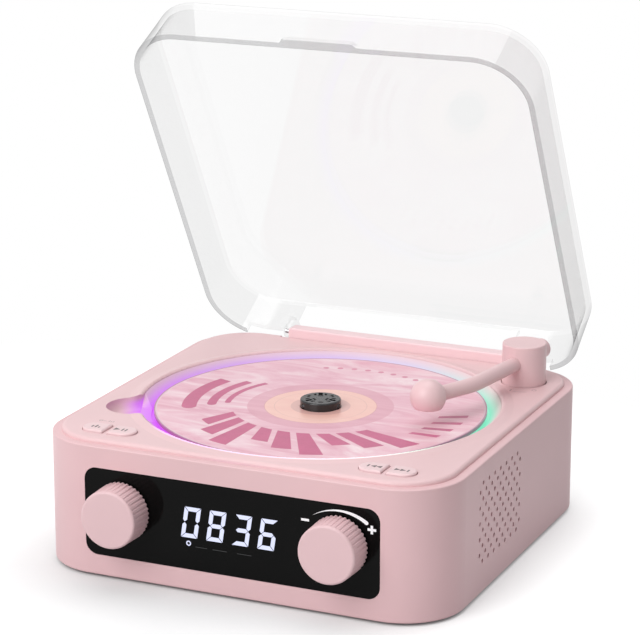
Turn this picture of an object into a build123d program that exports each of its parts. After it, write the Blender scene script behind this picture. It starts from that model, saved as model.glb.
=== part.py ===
"""Desktop disc player with a hinged clear cover, a swinging tonearm and two front knobs.

Millimetres. The origin is the centre of the base's footprint on the table,
+X to the right, +Y to the back, +Z up. The cover is modelled open, at its rest.
"""
import os
from math import acos, cos, pi, radians, sin, sqrt, tan

from build123d import *

os.makedirs("parts", exist_ok=True)


# Body shell
body_w = 154.0
body_d = 150.0
body_corner = 22.2
wall = 2.4
underside_z = 1.0
ledge_z = 48.0
ledge_t = 2.6
ledge_w = 4.6
ledge_edge = 0.5
bottom_edge = 0.8
inside_gap = 0.3
slack = 0.1
running = 0.05

# Deck and disc bay
deck_inset = 3.3
deck_raise = 1.65
deck_edge = 1.3
bay_x, bay_y = 0.8, -0.9
bay_side = 12.0
bay_end = 10.0
bay_floor_t = 1.5
bay_floor_z = 44.9
ring_undercut = 1.2
bay_wall_t = 1.7
lip_round = 0.9
lip_flat = 0.3
lip_h = 0.6
lip_slope = 3.4
notch_out, notch_turn = 2.44, 208.62
notch_r = 9.7
notch_flare = 5.0
notch_dish = 3.8
notch_floor_z = 45.0
notch_wall = 2.3
hub_hole_r = 16.5
slot_half_w = 11.0
slot_from, slot_end = 14.0, 3.0

# Disc and spindle
disc_gap = 5.0
ring_lap, ring_foot = 4.1, 2.6
ring_end_r = 15.0
dip_in, dip_out = 10.5, 17.1
sill_h = 0.9
disc_t = 1.2
disc_z = 46.65
disc_hole_r = 7.55
hub_r = 14.6
hub_puck_r = 7.4
hub_puck_h = 3.0
hub_top_edge = 0.6
catch_turn = 114
pad_t = 0.4
hub_plate_t = 1.25

# Clear cover
cover_in = 0.35
cover_over = 0.3
cover_corner_in = 1.5
cover_h = 20.4
cover_t = 2.0
cover_taper = 2.5
cover_edge = 0.9
cover_gap = 0.34
cover_open = 60.5
rear_relief_h = 4.0
relief_in = 14.0
cutout_gap = 0.5
ear_w = 2.3
ear_r = 2.3
ear_h = 6.0
tab_w = 29.0
tab_out = 1.5
tab_t = 2.0
hinge_in, hinge_z = 1.7, 51.0
pin_r = 0.8
pin_in = 5.6

# Hinge bar
bar_in = 32.6
bar_d, bar_over = 6.0, 0.6
bar_top = 53.4
bar_edge = 0.7

# Front window, knobs and digits
window_side, window_h = 21.7, 31.7
window_z = 24.5
window_corner = 4.5
window_t = 1.6
backing_t = 2.0
knob_in, knob_z = 14.6, 26.2
knob_r = 10.6
knob_len = 10.5
knob_gap = 0.8
knob_taper = 1.6
flutes = 40
flute_r = 0.56
shaft_r = 2.98
digit_h, digit_w, digit_pitch = 11.1, 6.2, 9.6
digit_z = 20.2
digit_slant = 1.7
segment_t = 1.5
segment_gap = 0.14
numerals = "0836"

# Deck buttons
button_in, button_back = 24.6, 13.5
pair_w, button_d = 20.4, 8.5
pair_gap = 2.0
button_rise = 0.9
button_travel = 0.8
button_clear = 0.25
flange_w = 0.5
flange_t = 1.2

# Tonearm
post_in, post_fwd = 17.6, 23.1
post_r = 8.1
post_top = 64.7
post_hole_r = 8.5
arm_z = 58.0
arm_r = 2.7
bend_in, bend_fwd = 5.9, 36.9
head_in, head_fwd = 15.4, 56.9
head_r = 6.4
head_flat = 4.0
arm_bend_r = 28.0
weight_r = 3.7
weight_len = 5.3
weight_rise = 1.2
arm_shaft_r = 2.5
cup_floor_z, cup_floor_t = 42.6, 1.4

# Speaker grilles
grille_rows, grille_long = 11, 8
grille_pitch = 5.6
grille_row_pitch = 2.82
grille_top_z = 40.9
grille_hole_r = 0.8
speaker_y, speaker_z = -19.6, 26.8
speaker_r = 17.0
speaker_off = 3.6

# Disc mechanism
chassis_z, chassis_t = 39.3, 1.2
lens_start = 24.0
rod_x, rod_z, rod_r = 10.8, 41.9, 0.8
gear_module = 0.5
rack_teeth, rack_behind = 26, 22
small_teeth, large_teeth, pinion_teeth = 12, 36, 10
gear_backlash = 0.10

# Boards and fixings
board_t = 1.6
board_z = 9.0
foot_r, foot_h, foot_sunk = 6.5, 2.0, 1.0
screw_r, screw_head_r, screw_head_h = 1.25, 2.4, 1.5
small_screw_r, small_head_r, small_head_h = 0.9, 1.8, 1.0
port_side, port_z = 0.8, 16.6
port_w, port_h, port_corner = 62.0, 17.0, 3.0
port_t = 1.6
jack_r, jack_len = 1.8, 14.0

# Places worked out from the sizes above
deck_z = ledge_z + deck_raise
ledge_under = ledge_z - ledge_t
front_y = -body_d / 2
rear_y = body_d / 2
side_x = body_w / 2
inner_w, inner_d = body_w - 2 * wall, body_d - 2 * wall
bay = (bay_x, bay_y)
bay_r = min(side_x - bay_side, rear_y - bay_end)
bay_wall_r = bay_r + ring_undercut
bay_outer_r = bay_wall_r + bay_wall_t
disc_r = bay_r - disc_gap
slot_to = bay_r - slot_end
notch_x = bay_x + (bay_r + notch_out) * cos(radians(notch_turn))
notch_y = bay_y + (bay_r + notch_out) * sin(radians(notch_turn))
cover_w, cover_d = body_w - 2 * cover_in, body_d + 2 * cover_over
cover_corner = body_corner - cover_corner_in
hinge_y = rear_y - hinge_in
bar_back = rear_y + bar_over
bar_front = bar_back - bar_d
bar_half = side_x - bar_in
cutout_half = bar_half + cutout_gap
rear_relief_half = side_x - relief_in
window_w = body_w - 2 * window_side
knob_x = window_w / 2 - knob_in
button_x, button_y = side_x - button_in, front_y + button_back
post_x, post_y = side_x - post_in, rear_y - post_fwd
bend_x, bend_y = post_x - bend_in, post_y - bend_fwd
head_x, head_y = post_x - head_in, post_y - head_fwd
port_x = side_x - body_corner - port_w / 2 - port_side
board_half, board_back, board_front = side_x - 27.0, rear_y - 7.0, -18.0
chassis_front, chassis_back = bay_y - 24.0, bay_y + bay_r + 3.1
notch = (notch_x, notch_y)
post = (post_x, post_y)
disc_top = disc_z + disc_t
front = Plane.XZ.offset(-front_y)
bay_under = bay_floor_z - bay_floor_t
deck_screw_points = [(s * (side_x - 43.0), t * (rear_y - 8.5)) for s in (-1, 1) for t in (-1, 1)]
deck_screw_points += [(s * (side_x - 8.8), 33.0) for s in (-1, 1)]
bar_screw_points = [(s * 20.0, rear_y - 3.6) for s in (-1, 1)]
column_points = [(s * (side_x - 13.5), t * (rear_y - 13.5)) for s in (-1, 1) for t in (-1, 1)]
foot_points = [(s * (side_x - 25.0), t * (rear_y - 25.0)) for s in (-1, 1) for t in (-1, 1)]
key_post_points = [(s * button_x, button_y + y) for s in (-1, 1) for y in (6.5, -6.5)]
mech_points = [(bay_x + s * 27.0, y) for s in (-1, 1) for y in (bay_y - 18.0, chassis_back - 12.1)]
board_boss_points = [(s * (window_w / 2 - 0.3), z) for s in (-1, 1) for z in (12.2, 38.6)]
main_board_points = [(s * (board_half - 4.0), y) for s in (-1, 1)
                     for y in (board_front + 4.0, board_back - 8.0)]
speaker_screw_points = [
    (speaker_y + s * 14.3, speaker_z + t * 13.6) for s in (-1, 1) for t in (-1, 1)
]
display_board_y = front_y + 13.0
knob_back_y = front_y - knob_gap
window_back = front_y + window_t
key_board_z = 43.2
switch_top = 45.8
rack_pitch = pi * gear_module
small_pitch_r = gear_module * small_teeth / 2
large_pitch_r = gear_module * large_teeth / 2
pinion_pitch_r = gear_module * pinion_teeth / 2
rack_x = bay_x - 20.5
feed_x, feed_y = rack_x - small_pitch_r, bay_y + 28.0
pinion_y = feed_y - large_pitch_r - pinion_pitch_r


def save(piece, name):
    """Label a finished piece and write it to its own file."""
    piece.part.label = name
    export_step(piece.part, f"parts/{name}.step")


def involute(angle):
    return tan(angle) - angle


def gear_points(teeth, steps=4):
    """Points round a spur gear's outline, with one tooth pointing along +X."""
    pressure = radians(20)
    pitch_r = gear_module * teeth / 2
    base_r = pitch_r * cos(pressure)
    tip_r = pitch_r + 0.9 * gear_module
    root_r = pitch_r - 1.2 * gear_module
    half = (pi / 2 - gear_backlash / gear_module) / teeth + involute(pressure)
    low_r = max(base_r, root_r)
    flank = []
    for i in range(steps + 1):
        r = low_r + (tip_r - low_r) * i / steps
        flank.append((r, half - involute(acos(min(1.0, base_r / r)))))
    points = []
    for tooth in range(teeth):
        middle = 2 * pi * tooth / teeth
        points.append((root_r, middle - half - 0.02))
        points += [(r, middle - a) for r, a in flank]
        points += [(r, middle + a) for r, a in reversed(flank)]
        points.append((root_r, middle + half + 0.02))
    return [(r * cos(a), r * sin(a)) for r, a in points]


def screws_up(points, seat_z, length, r=screw_r, head_r=screw_head_r, head_h=screw_head_h):
    """Screws driven upwards, each head under the plane at seat_z."""
    on_base = (Align.CENTER, Align.CENTER, Align.MIN)
    with Locations(*[(x, y, seat_z - head_h) for x, y in points]):
        Cylinder(head_r, head_h, align=on_base)
        Cylinder(r, head_h + length, align=on_base)


# Main housing: one moulded wall all round, open below, with a ledge for the deck
with BuildPart() as main_housing:
    with BuildSketch(Plane.XY.offset(underside_z)):
        RectangleRounded(body_w, body_d, body_corner)
    extrude(amount=ledge_z - underside_z)
    fillet(main_housing.edges().group_by(Axis.Z)[-1], ledge_edge)
    fillet(main_housing.edges().group_by(Axis.Z)[0], bottom_edge)
    with BuildSketch(Plane.XY.offset(underside_z)):
        RectangleRounded(inner_w, inner_d, body_corner - wall)
    extrude(amount=ledge_under - underside_z, mode=Mode.SUBTRACT)
    with BuildSketch(Plane.XY.offset(ledge_under)):
        RectangleRounded(body_w - 2 * ledge_w, body_d - 2 * ledge_w, body_corner - ledge_w)
    extrude(amount=ledge_t, mode=Mode.SUBTRACT)
    # Pads that take the deck's screws and the hinge bar's screws
    with BuildSketch(Plane.XY.offset(ledge_under)):
        with Locations(*deck_screw_points):
            Circle(4.6)
        with Locations(*[(x, y - 1.6) for x, y in bar_screw_points]):
            Circle(4.0)
    extrude(amount=ledge_t)
    with BuildSketch(Plane.XY.offset(ledge_under)):
        with Locations(*deck_screw_points):
            Circle(3.2)
        with Locations(*bar_screw_points):
            Circle(screw_r + slack)
    extrude(amount=ledge_t, mode=Mode.SUBTRACT)
    # Driver room for the hinge bar's screws, cut into the inside of the rear wall
    with BuildSketch(Plane.XY.offset(26.0)):
        with Locations(*bar_screw_points):
            Circle(screw_head_r + 0.2)
    extrude(amount=ledge_under - 26.0, mode=Mode.SUBTRACT)
    # Backing behind the front window, then the window's pocket
    with BuildSketch(Plane.XZ.offset(-front_y - wall)):
        with Locations((0, window_z)):
            Rectangle(window_w + 8, window_h + 4)
    extrude(amount=-backing_t)
    with BuildSketch(front):
        with Locations((0, window_z)):
            RectangleRounded(window_w + 2 * slack, window_h + 2 * slack, window_corner + slack)
    extrude(amount=-window_t - slack, mode=Mode.SUBTRACT)
    with BuildSketch(front):
        with Locations((0, digit_z + digit_h / 2)):
            Rectangle(42.6, 18.0)
        with Locations((-knob_x, knob_z), (knob_x, knob_z)):
            Circle(4.2)
    extrude(amount=-8.0, mode=Mode.SUBTRACT)
    # Bosses for the display board
    with BuildSketch(Plane.XZ.offset(-front_y - wall - backing_t)):
        with Locations(*board_boss_points):
            Circle(2.3)
    extrude(amount=display_board_y - front_y - wall - backing_t, dir=(0, 1, 0))
    with BuildSketch(Plane.XZ.offset(-display_board_y)):
        with Locations(*board_boss_points):
            Circle(small_screw_r + running)
    extrude(amount=6.0, mode=Mode.SUBTRACT)
    # Corner columns that take the base screws, tied to the walls by ribs
    with BuildSketch(Plane.XY.offset(underside_z + 2.2)):
        with Locations(*column_points):
            Circle(4.4)
        for x, y in column_points:
            side, end = (1 if x > 0 else -1), (1 if y > 0 else -1)
            with Locations((x + side * 5.0, y)):
                Rectangle(10.0, 2.0)
            with Locations((x, y + end * 4.0)):
                Rectangle(2.0, 8.0)
    extrude(amount=17.0)
    with BuildSketch(Plane.XY.offset(underside_z + 2.2)):
        with Locations(*column_points):
            Circle(screw_r + running)
    extrude(amount=12.0, mode=Mode.SUBTRACT)
    # Speaker bosses inside both side walls
    for side in (-1, 1):
        with BuildSketch(Plane.YZ.offset(side * inner_w / 2)):
            with Locations(*speaker_screw_points):
                Circle(2.3)
        extrude(amount=-side * speaker_off)
        with BuildSketch(Plane.YZ.offset(side * (inner_w / 2 - speaker_off))):
            with Locations(*speaker_screw_points):
                Circle(small_screw_r + running)
        extrude(amount=side * 4.2, mode=Mode.SUBTRACT)
    # Grille holes, in staggered rows, through both side walls
    with BuildSketch(Plane.YZ.offset(-body_w / 2)):
        for row in range(grille_rows):
            short = row % 2 == 0
            count = grille_long - 1 if short else grille_long
            first = -grille_pitch / 2 if short else 0.0
            spots = [(first - i * grille_pitch, grille_top_z - row * grille_row_pitch)
                     for i in range(count)]
            with Locations(*spots):
                Circle(grille_hole_r)
    extrude(amount=body_w, mode=Mode.SUBTRACT)
    # Rear recess and opening for the port panel
    with BuildSketch(Plane.XZ.offset(-rear_y)):
        with Locations((port_x, port_z)):
            RectangleRounded(port_w + 2 * slack, port_h + 2 * slack, port_corner + slack)
    extrude(amount=port_t + slack, mode=Mode.SUBTRACT)
    with BuildSketch(Plane.XZ.offset(-rear_y)):
        with Locations((port_x, port_z)):
            RectangleRounded(port_w - 5.0, port_h - 3.4, 2.0)
    extrude(amount=wall + 1.0, mode=Mode.SUBTRACT)
save(main_housing, "main_housing")

# Bottom cover: a flat tray inside the wall, with standoffs, vents and foot recesses
with BuildPart() as bottom_cover:
    with BuildSketch(Plane.XY.offset(underside_z)):
        RectangleRounded(inner_w - 2 * inside_gap, inner_d - 2 * inside_gap,
                         body_corner - wall - inside_gap)
    extrude(amount=2.2)
    with BuildSketch(Plane.XY.offset(underside_z)):
        with Locations(*foot_points):
            Circle(foot_r + slack)
    extrude(amount=foot_sunk, mode=Mode.SUBTRACT)
    with Locations(*[(x, y, underside_z) for x, y in column_points]):
        Cylinder(screw_head_r + 0.3, 1.1, align=(Align.CENTER, Align.CENTER, Align.MIN),
                 mode=Mode.SUBTRACT)
        Cylinder(screw_r + slack, 2.2, align=(Align.CENTER, Align.CENTER, Align.MIN),
                 mode=Mode.SUBTRACT)
    with BuildSketch(Plane.XY.offset(underside_z)):
        with GridLocations(0, 6.0, 1, 9):
            SlotOverall(44.0, 2.0)
    extrude(amount=2.2, mode=Mode.SUBTRACT)
    with BuildSketch(Plane.XY.offset(underside_z + 2.2)):
        with Locations(*main_board_points):
            Circle(3.0)
    extrude(amount=board_z - underside_z - 2.2)
    with BuildSketch(Plane.XY.offset(board_z)):
        with Locations(*main_board_points):
            Circle(small_screw_r + running)
    extrude(amount=-5.2, mode=Mode.SUBTRACT)
save(bottom_cover, "bottom_cover")

with BuildPart() as rubber_feet:
    with BuildSketch(Plane.XY):
        with Locations(*foot_points):
            Circle(foot_r)
    extrude(amount=foot_h)
    fillet(rubber_feet.edges().group_by(Axis.Z)[0], 0.4)
save(rubber_feet, "rubber_feet")

with BuildPart() as base_screws:
    screws_up(column_points, underside_z + 1.1, 11.0, head_h=0.9)
save(base_screws, "base_screws")

# Tool shape that opens the bay and the thumb scoop in one, with a dished floor
with BuildPart() as bay_shape:
    with BuildSketch(Plane.XY.offset(notch_floor_z)) as bay_outline:
        with Locations(bay):
            Circle(bay_r)
        with Locations(notch):
            Circle(notch_r)
        fillet(bay_outline.vertices(), notch_flare)
    extrude(amount=9.0)
    fillet(bay_shape.edges().group_by(Axis.Z)[0], notch_dish)

# Raised rim round the bay, and the shape that rounds its inner edge
lip_z = deck_z + lip_h
lip_crest_r = bay_r + lip_round + lip_flat
with BuildPart() as lip_shape:
    with BuildSketch(Plane.XZ):
        with BuildLine():
            Polyline((0, deck_z - 0.3), (lip_crest_r + lip_slope, deck_z - 0.3),
                     (lip_crest_r + lip_slope, deck_z - 0.02), (lip_crest_r, lip_z),
                     (0, lip_z), close=True)
        make_face()
    revolve(axis=Axis.Z)
with BuildPart() as lip_rounding:
    with BuildSketch(Plane.XZ):
        with BuildLine():
            Polyline((bay_r, lip_z - lip_round), (bay_r - 5, lip_z - lip_round),
                     (bay_r - 5, lip_z + 1), (bay_r + lip_round, lip_z + 1),
                     (bay_r + lip_round, lip_z))
            ThreePointArc((bay_r + lip_round, lip_z),
                          (bay_r + lip_round * (1 - cos(pi / 4)),
                           lip_z - lip_round * (1 - sin(pi / 4))),
                          (bay_r, lip_z - lip_round))
        make_face()
    revolve(axis=Axis.Z)
on_bay = Location((bay_x, bay_y, 0))

# Top deck: raised plate with the disc bay, its floor, and the seats for what stands on it
with BuildPart() as top_deck:
    with BuildSketch(Plane.XY.offset(ledge_z)):
        RectangleRounded(body_w - 2 * deck_inset, body_d - 2 * deck_inset,
                         body_corner - deck_inset)
    extrude(amount=deck_raise)
    fillet(top_deck.edges().group_by(Axis.Z)[-1], deck_edge)
    add(lip_shape.part.moved(on_bay))
    with BuildSketch(Plane.XY.offset(bay_under)):
        with Locations(bay):
            Circle(bay_outer_r)
        with Locations(notch):
            Circle(notch_r + notch_wall)
    extrude(amount=ledge_z - bay_under + 0.4)
    with BuildSketch(Plane.XY.offset(cup_floor_z)):
        with Locations(post):
            Circle(post_hole_r + 1.4)
    extrude(amount=ledge_z - cup_floor_z + 0.4)
    # The bay and scoop, the rounding of the rim, and the undercut that holds the light ring
    add(bay_shape.part, mode=Mode.SUBTRACT)
    with BuildSketch(Plane.XY.offset(bay_floor_z)):
        with Locations(bay):
            Circle(bay_wall_r)
        with Locations(notch):
            Circle(ring_end_r, mode=Mode.SUBTRACT)
        with Locations(bay):
            Circle(bay_r)
    extrude(amount=3.4, mode=Mode.SUBTRACT)
    add(lip_rounding.part.moved(on_bay), mode=Mode.SUBTRACT)
    # Hub hole and the lens slot in the floor
    with BuildSketch(Plane.XY.offset(bay_under)):
        with Locations(bay):
            Circle(hub_hole_r)
        with Locations((bay_x, bay_y + (slot_from + slot_to) / 2)):
            Rectangle(2 * slot_half_w, slot_to - slot_from)
    extrude(amount=bay_floor_t, mode=Mode.SUBTRACT)
    # Post hole, with the shaft's bush hole in the cup's floor
    with BuildSketch(Plane.XY.offset(cup_floor_z + cup_floor_t)):
        with Locations(post):
            Circle(post_hole_r)
    extrude(amount=8.0, mode=Mode.SUBTRACT)
    with BuildSketch(Plane.XY.offset(cup_floor_z)):
        with Locations(post):
            Circle(arm_shaft_r + running)
    extrude(amount=cup_floor_t, mode=Mode.SUBTRACT)
    # Openings for the two pairs of buttons
    for side in (-1, 1):
        with BuildSketch(Plane.XY.offset(ledge_z)):
            with Locations((side * button_x, button_y)):
                SlotOverall(pair_w + 2 * button_clear, button_d + 2 * button_clear)
                Rectangle(pair_gap - 2 * button_clear, button_d + 2, mode=Mode.SUBTRACT)
        extrude(amount=deck_raise, mode=Mode.SUBTRACT)
    # Room for the hinge bar and the cover's ears
    with BuildSketch(Plane.XY.offset(ledge_z)):
        with Locations((0, bar_front - inside_gap)):
            Rectangle(2 * (cutout_half + ear_w + 0.9), 8.0, align=(Align.CENTER, Align.MIN))
    extrude(amount=deck_raise, mode=Mode.SUBTRACT)
    # Bosses under the plate and under the bay floor
    with BuildSketch(Plane.XY.offset(ledge_z - 2.2)):
        with Locations(*deck_screw_points):
            Circle(3.0)
    extrude(amount=2.6)
    with BuildSketch(Plane.XY.offset(ledge_z - 2.2)):
        with Locations(*deck_screw_points):
            Circle(screw_r + running)
    extrude(amount=3.2, mode=Mode.SUBTRACT)
    with BuildSketch(Plane.XY.offset(key_board_z + 1.2)):
        with Locations(*key_post_points):
            Circle(1.5)
    extrude(amount=ledge_z - key_board_z - 1.2 + 0.4)
    with BuildSketch(Plane.XY.offset(key_board_z + 1.2)):
        with Locations(*key_post_points):
            Circle(small_screw_r + running)
    extrude(amount=3.2, mode=Mode.SUBTRACT)
    with BuildSketch(Plane.XY.offset(chassis_z - 1.2)):
        with Locations(*mech_points):
            Circle(2.3)
    extrude(amount=bay_under - chassis_z + 1.2 + 0.4)
    with BuildSketch(Plane.XY.offset(chassis_z - 1.2)):
        with Locations(*mech_points):
            Circle(small_screw_r + running)
    extrude(amount=5.0, mode=Mode.SUBTRACT)
save(top_deck, "top_deck")

with BuildPart() as deck_screws:
    screws_up(deck_screw_points, ledge_under, 3.4, head_r=3.6)
    screws_up(bar_screw_points, ledge_under, 6.0)
save(deck_screws, "deck_screws")

# Shapes that end the light ring at the scoop: solid ends, their slope down to a low sill,
# and the room cut from its flange
scoop_at = (notch_x - bay_x, notch_y - bay_y)
with BuildPart() as ring_ends:
    with BuildSketch(Plane.XZ):
        with BuildLine():
            Polyline((bay_r - ring_lap, bay_floor_z), (bay_r - ring_lap, bay_floor_z + 0.8),
                     (bay_r - 0.1, bay_floor_z + 4.4), (bay_r - 0.1, bay_floor_z), close=True)
        make_face()
    revolve(axis=Axis.Z)
    with BuildSketch(Plane.XY.offset(bay_floor_z)):
        with Locations(scoop_at):
            Circle(dip_out + 0.5)
    extrude(amount=6.0, mode=Mode.INTERSECT)
with BuildPart() as ring_dip:
    with Locations((scoop_at[0], scoop_at[1], bay_floor_z + sill_h)):
        Cone(dip_in, dip_out, 4.5 - sill_h, align=(Align.CENTER, Align.CENTER, Align.MIN))
    with BuildSketch(Plane.XY.offset(bay_floor_z)):
        Circle(bay_r - 0.1)
    extrude(amount=6.0, mode=Mode.INTERSECT)
with BuildPart() as ring_mouth:
    with BuildSketch(Plane.XY.offset(bay_floor_z)):
        with Locations(scoop_at):
            Circle(ring_end_r + 0.2)
        Circle(bay_r - 0.1, mode=Mode.SUBTRACT)
    extrude(amount=6.0)

# Light ring: frosted moulding with a sloped face that lines the bay
with BuildPart() as light_ring:
    with BuildSketch(Plane.XZ):
        with BuildLine():
            Polyline((bay_r - ring_lap, bay_floor_z), (bay_r - ring_lap, bay_floor_z + 0.8),
                     (bay_r - 0.1, bay_floor_z + 4.4),
                     (bay_r - 0.1, bay_floor_z + 3.3), (bay_wall_r - 0.1, bay_floor_z + 3.3),
                     (bay_wall_r - 0.1, bay_floor_z + 2.3), (bay_r - 0.3, bay_floor_z + 2.3),
                     (bay_r - ring_foot, bay_floor_z), close=True)
        make_face()
    revolve(axis=Axis.Z)
    add(ring_ends.part)
    add(ring_dip.part, mode=Mode.SUBTRACT)
    add(ring_mouth.part, mode=Mode.SUBTRACT)
light_ring.part = light_ring.part.moved(on_bay)
save(light_ring, "light_ring")

# Ring board with its lamps, on the bay floor under the light ring
with BuildPart() as led_ring_board:
    with BuildSketch(Plane.XY.offset(bay_floor_z)):
        with Locations(bay):
            Circle(bay_wall_r - 0.2)
            Circle(bay_wall_r - 2.7, mode=Mode.SUBTRACT)
    extrude(amount=0.6)
    with BuildSketch(Plane.XY.offset(bay_floor_z + 0.6)):
        with Locations(bay):
            with PolarLocations(bay_wall_r - 1.4, 24):
                Rectangle(1.2, 2.0)
    extrude(amount=0.5)
    with BuildSketch(Plane.XY.offset(bay_floor_z)):
        with Locations(notch):
            Circle(dip_out + 0.8)
    extrude(amount=6.0, mode=Mode.SUBTRACT)
save(led_ring_board, "led_ring_board")

# Hinge bar: fixed to the ledge at the back, with a bore in each end
with BuildPart() as hinge_bar:
    with BuildSketch(Plane.XY.offset(ledge_z)):
        with Locations((0, (bar_front + bar_back) / 2)):
            Rectangle(2 * bar_half, bar_back - bar_front)
    extrude(amount=bar_top - ledge_z)
    fillet(hinge_bar.edges().group_by(Axis.Z)[-1], bar_edge)
    for side in (-1, 1):
        with BuildSketch(Plane.YZ.offset(side * bar_half)):
            with Locations((hinge_y, hinge_z)):
                Circle(pin_r + running)
        extrude(amount=-side * (pin_in + 0.3), mode=Mode.SUBTRACT)
    with BuildSketch(Plane.XY.offset(ledge_z)):
        with Locations(*bar_screw_points):
            Circle(screw_r + running)
    extrude(amount=3.8, mode=Mode.SUBTRACT)
save(hinge_bar, "hinge_bar")

with BuildPart() as hinge_pins:
    for side in (-1, 1):
        with BuildSketch(Plane.YZ.offset(side * (bar_half - pin_in))):
            with Locations((hinge_y, hinge_z)):
                Circle(pin_r)
        extrude(amount=side * (pin_in + cutout_half - bar_half + ear_w))
save(hinge_pins, "hinge_pins")

# Clear cover, drawn in the frame of its own hinge: local y runs back along the rim
# and local z stands square to the top sheet
open_angle = radians(cover_open)
cover_plane = Plane(origin=(0, hinge_y, hinge_z), x_dir=(1, 0, 0),
                    z_dir=(0, sin(open_angle), cos(open_angle)))
rim_z = ledge_z + cover_gap - hinge_z
cover_back = cover_d / 2 - hinge_y
cover_mid = cover_back - cover_d / 2
with BuildPart() as dust_cover:
    with BuildSketch(cover_plane.offset(rim_z)):
        with Locations((0, cover_mid)):
            RectangleRounded(cover_w, cover_d, cover_corner)
    extrude(amount=cover_h, taper=cover_taper)
    fillet(dust_cover.edges().group_by(Axis((0, 0, 0), cover_plane.z_dir))[-1], cover_edge)
    with BuildSketch(cover_plane.offset(rim_z)):
        with Locations((0, cover_mid)):
            RectangleRounded(cover_w - 2 * cover_t, cover_d - 2 * cover_t, cover_corner - cover_t)
    extrude(amount=cover_h - cover_t, taper=cover_taper, mode=Mode.SUBTRACT)
    # Rear wall: cut short to swing clear of the ledge, and cut away round the hinge bar
    with BuildSketch(cover_plane.offset(rim_z)):
        with Locations((0, cover_back - 4.6)):
            Rectangle(2 * rear_relief_half, 8.0, align=(Align.CENTER, Align.MIN))
    extrude(amount=rear_relief_h, mode=Mode.SUBTRACT)
    with BuildSketch(cover_plane.offset(rim_z)):
        with Locations((0, cover_back - 4.6)):
            Rectangle(2 * cutout_half, 8.0, align=(Align.CENTER, Align.MIN))
    extrude(amount=cover_h - cover_t, mode=Mode.SUBTRACT)
    # Ears that carry the hinge pins
    for side in (-1, 1):
        ear_plane = Plane(origin=(side * cutout_half, hinge_y, hinge_z),
                          x_dir=cover_plane.y_dir, z_dir=(1, 0, 0))
        with BuildSketch(ear_plane):
            Circle(ear_r)
            Rectangle(ear_r + cover_back, ear_h + 1.5, align=(Align.MIN, Align.MIN))
            with Locations((-ear_r, 0)):
                Rectangle(ear_r, ear_h, align=(Align.MIN, Align.MIN))
        extrude(amount=side * ear_w)
        with BuildSketch(ear_plane):
            Circle(pin_r + 0.02)
        extrude(amount=side * ear_w, mode=Mode.SUBTRACT)
    # Finger lip at the middle of the front rim
    with BuildSketch(cover_plane.offset(rim_z)):
        with Locations((0, cover_mid - cover_d / 2)):
            Trapezoid(tab_w, tab_out, 50, rotation=180, align=(Align.CENTER, Align.MIN))
            Rectangle(tab_w, cover_t / 2, align=(Align.CENTER, Align.MIN))
    extrude(amount=tab_t)
save(dust_cover, "dust_cover")


def segment_corners(name):
    """Corners of one display segment, with its digit's lower left corner at the origin."""
    w, h, t, g = digit_w, digit_h, segment_t, segment_gap
    mid = h / 2
    top = [(g, h), (w - g, h), (w - t - g, h - t), (t + g, h - t)]
    side = [(0, h - g), (t, h - t - g), (t, mid + t / 2 + g), (t / 2, mid + g), (0, mid + t / 2 + g)]
    shapes = {
        "a": top, "d": [(x, h - z) for x, z in top],
        "f": side, "b": [(w - x, z) for x, z in side],
        "e": [(x, h - z) for x, z in side], "c": [(w - x, h - z) for x, z in side],
        "g": [(t / 2 + g, mid), (t + g, mid + t / 2), (w - t - g, mid + t / 2),
              (w - t / 2 - g, mid), (w - t - g, mid - t / 2), (t + g, mid - t / 2)],
    }
    return shapes[name]


lit_segments = {
    "0": "abcdef", "1": "bc", "2": "abged", "3": "abgcd", "4": "fgbc",
    "5": "afgcd", "6": "afgedc", "7": "abc", "8": "abcdefg", "9": "abcdfg",
}


def draw_digits():
    """All lit segments of the four numerals, in the sketch that is open."""
    lean = digit_slant / digit_h
    for i, numeral in enumerate(numerals):
        left = (i - (len(numerals) - 1) / 2) * digit_pitch - digit_slant / 2 - digit_w / 2
        for name in lit_segments[numeral]:
            corners = [(left + x + lean * z, digit_z + z) for x, z in segment_corners(name)]
            Polygon(*corners, align=None)


# Front window: dark gloss sheet, with the digits' light pipes ending flush in it
with BuildPart() as display_window:
    with BuildSketch(front):
        with Locations((0, window_z)):
            RectangleRounded(window_w, window_h, window_corner)
    extrude(amount=-window_t)
    with BuildSketch(front):
        with Locations((-knob_x, knob_z), (knob_x, knob_z)):
            Circle(3.5)
        draw_digits()
    extrude(amount=-window_t, mode=Mode.SUBTRACT)
save(display_window, "display_window")

with BuildPart() as display_digits:
    with BuildSketch(front):
        draw_digits()
    extrude(amount=-3.5)
save(display_digits, "display_digits")

with BuildPart() as digit_block:
    with BuildSketch(Plane.XZ.offset(-front_y - 3.5)):
        with Locations((0, digit_z + digit_h / 2)):
            Rectangle(41.6, 17.0)
    extrude(amount=-(display_board_y - front_y - 3.5))
save(digit_block, "digit_block")

with BuildPart() as display_board:
    with BuildSketch(Plane.XZ.offset(-display_board_y)):
        with Locations((0, 25.4)):
            RectangleRounded(window_w + 4.6, 31.0, 1.0)
        with Locations(*board_boss_points):
            Circle(small_screw_r + slack, mode=Mode.SUBTRACT)
    extrude(amount=-board_t)
save(display_board, "display_board")

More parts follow.
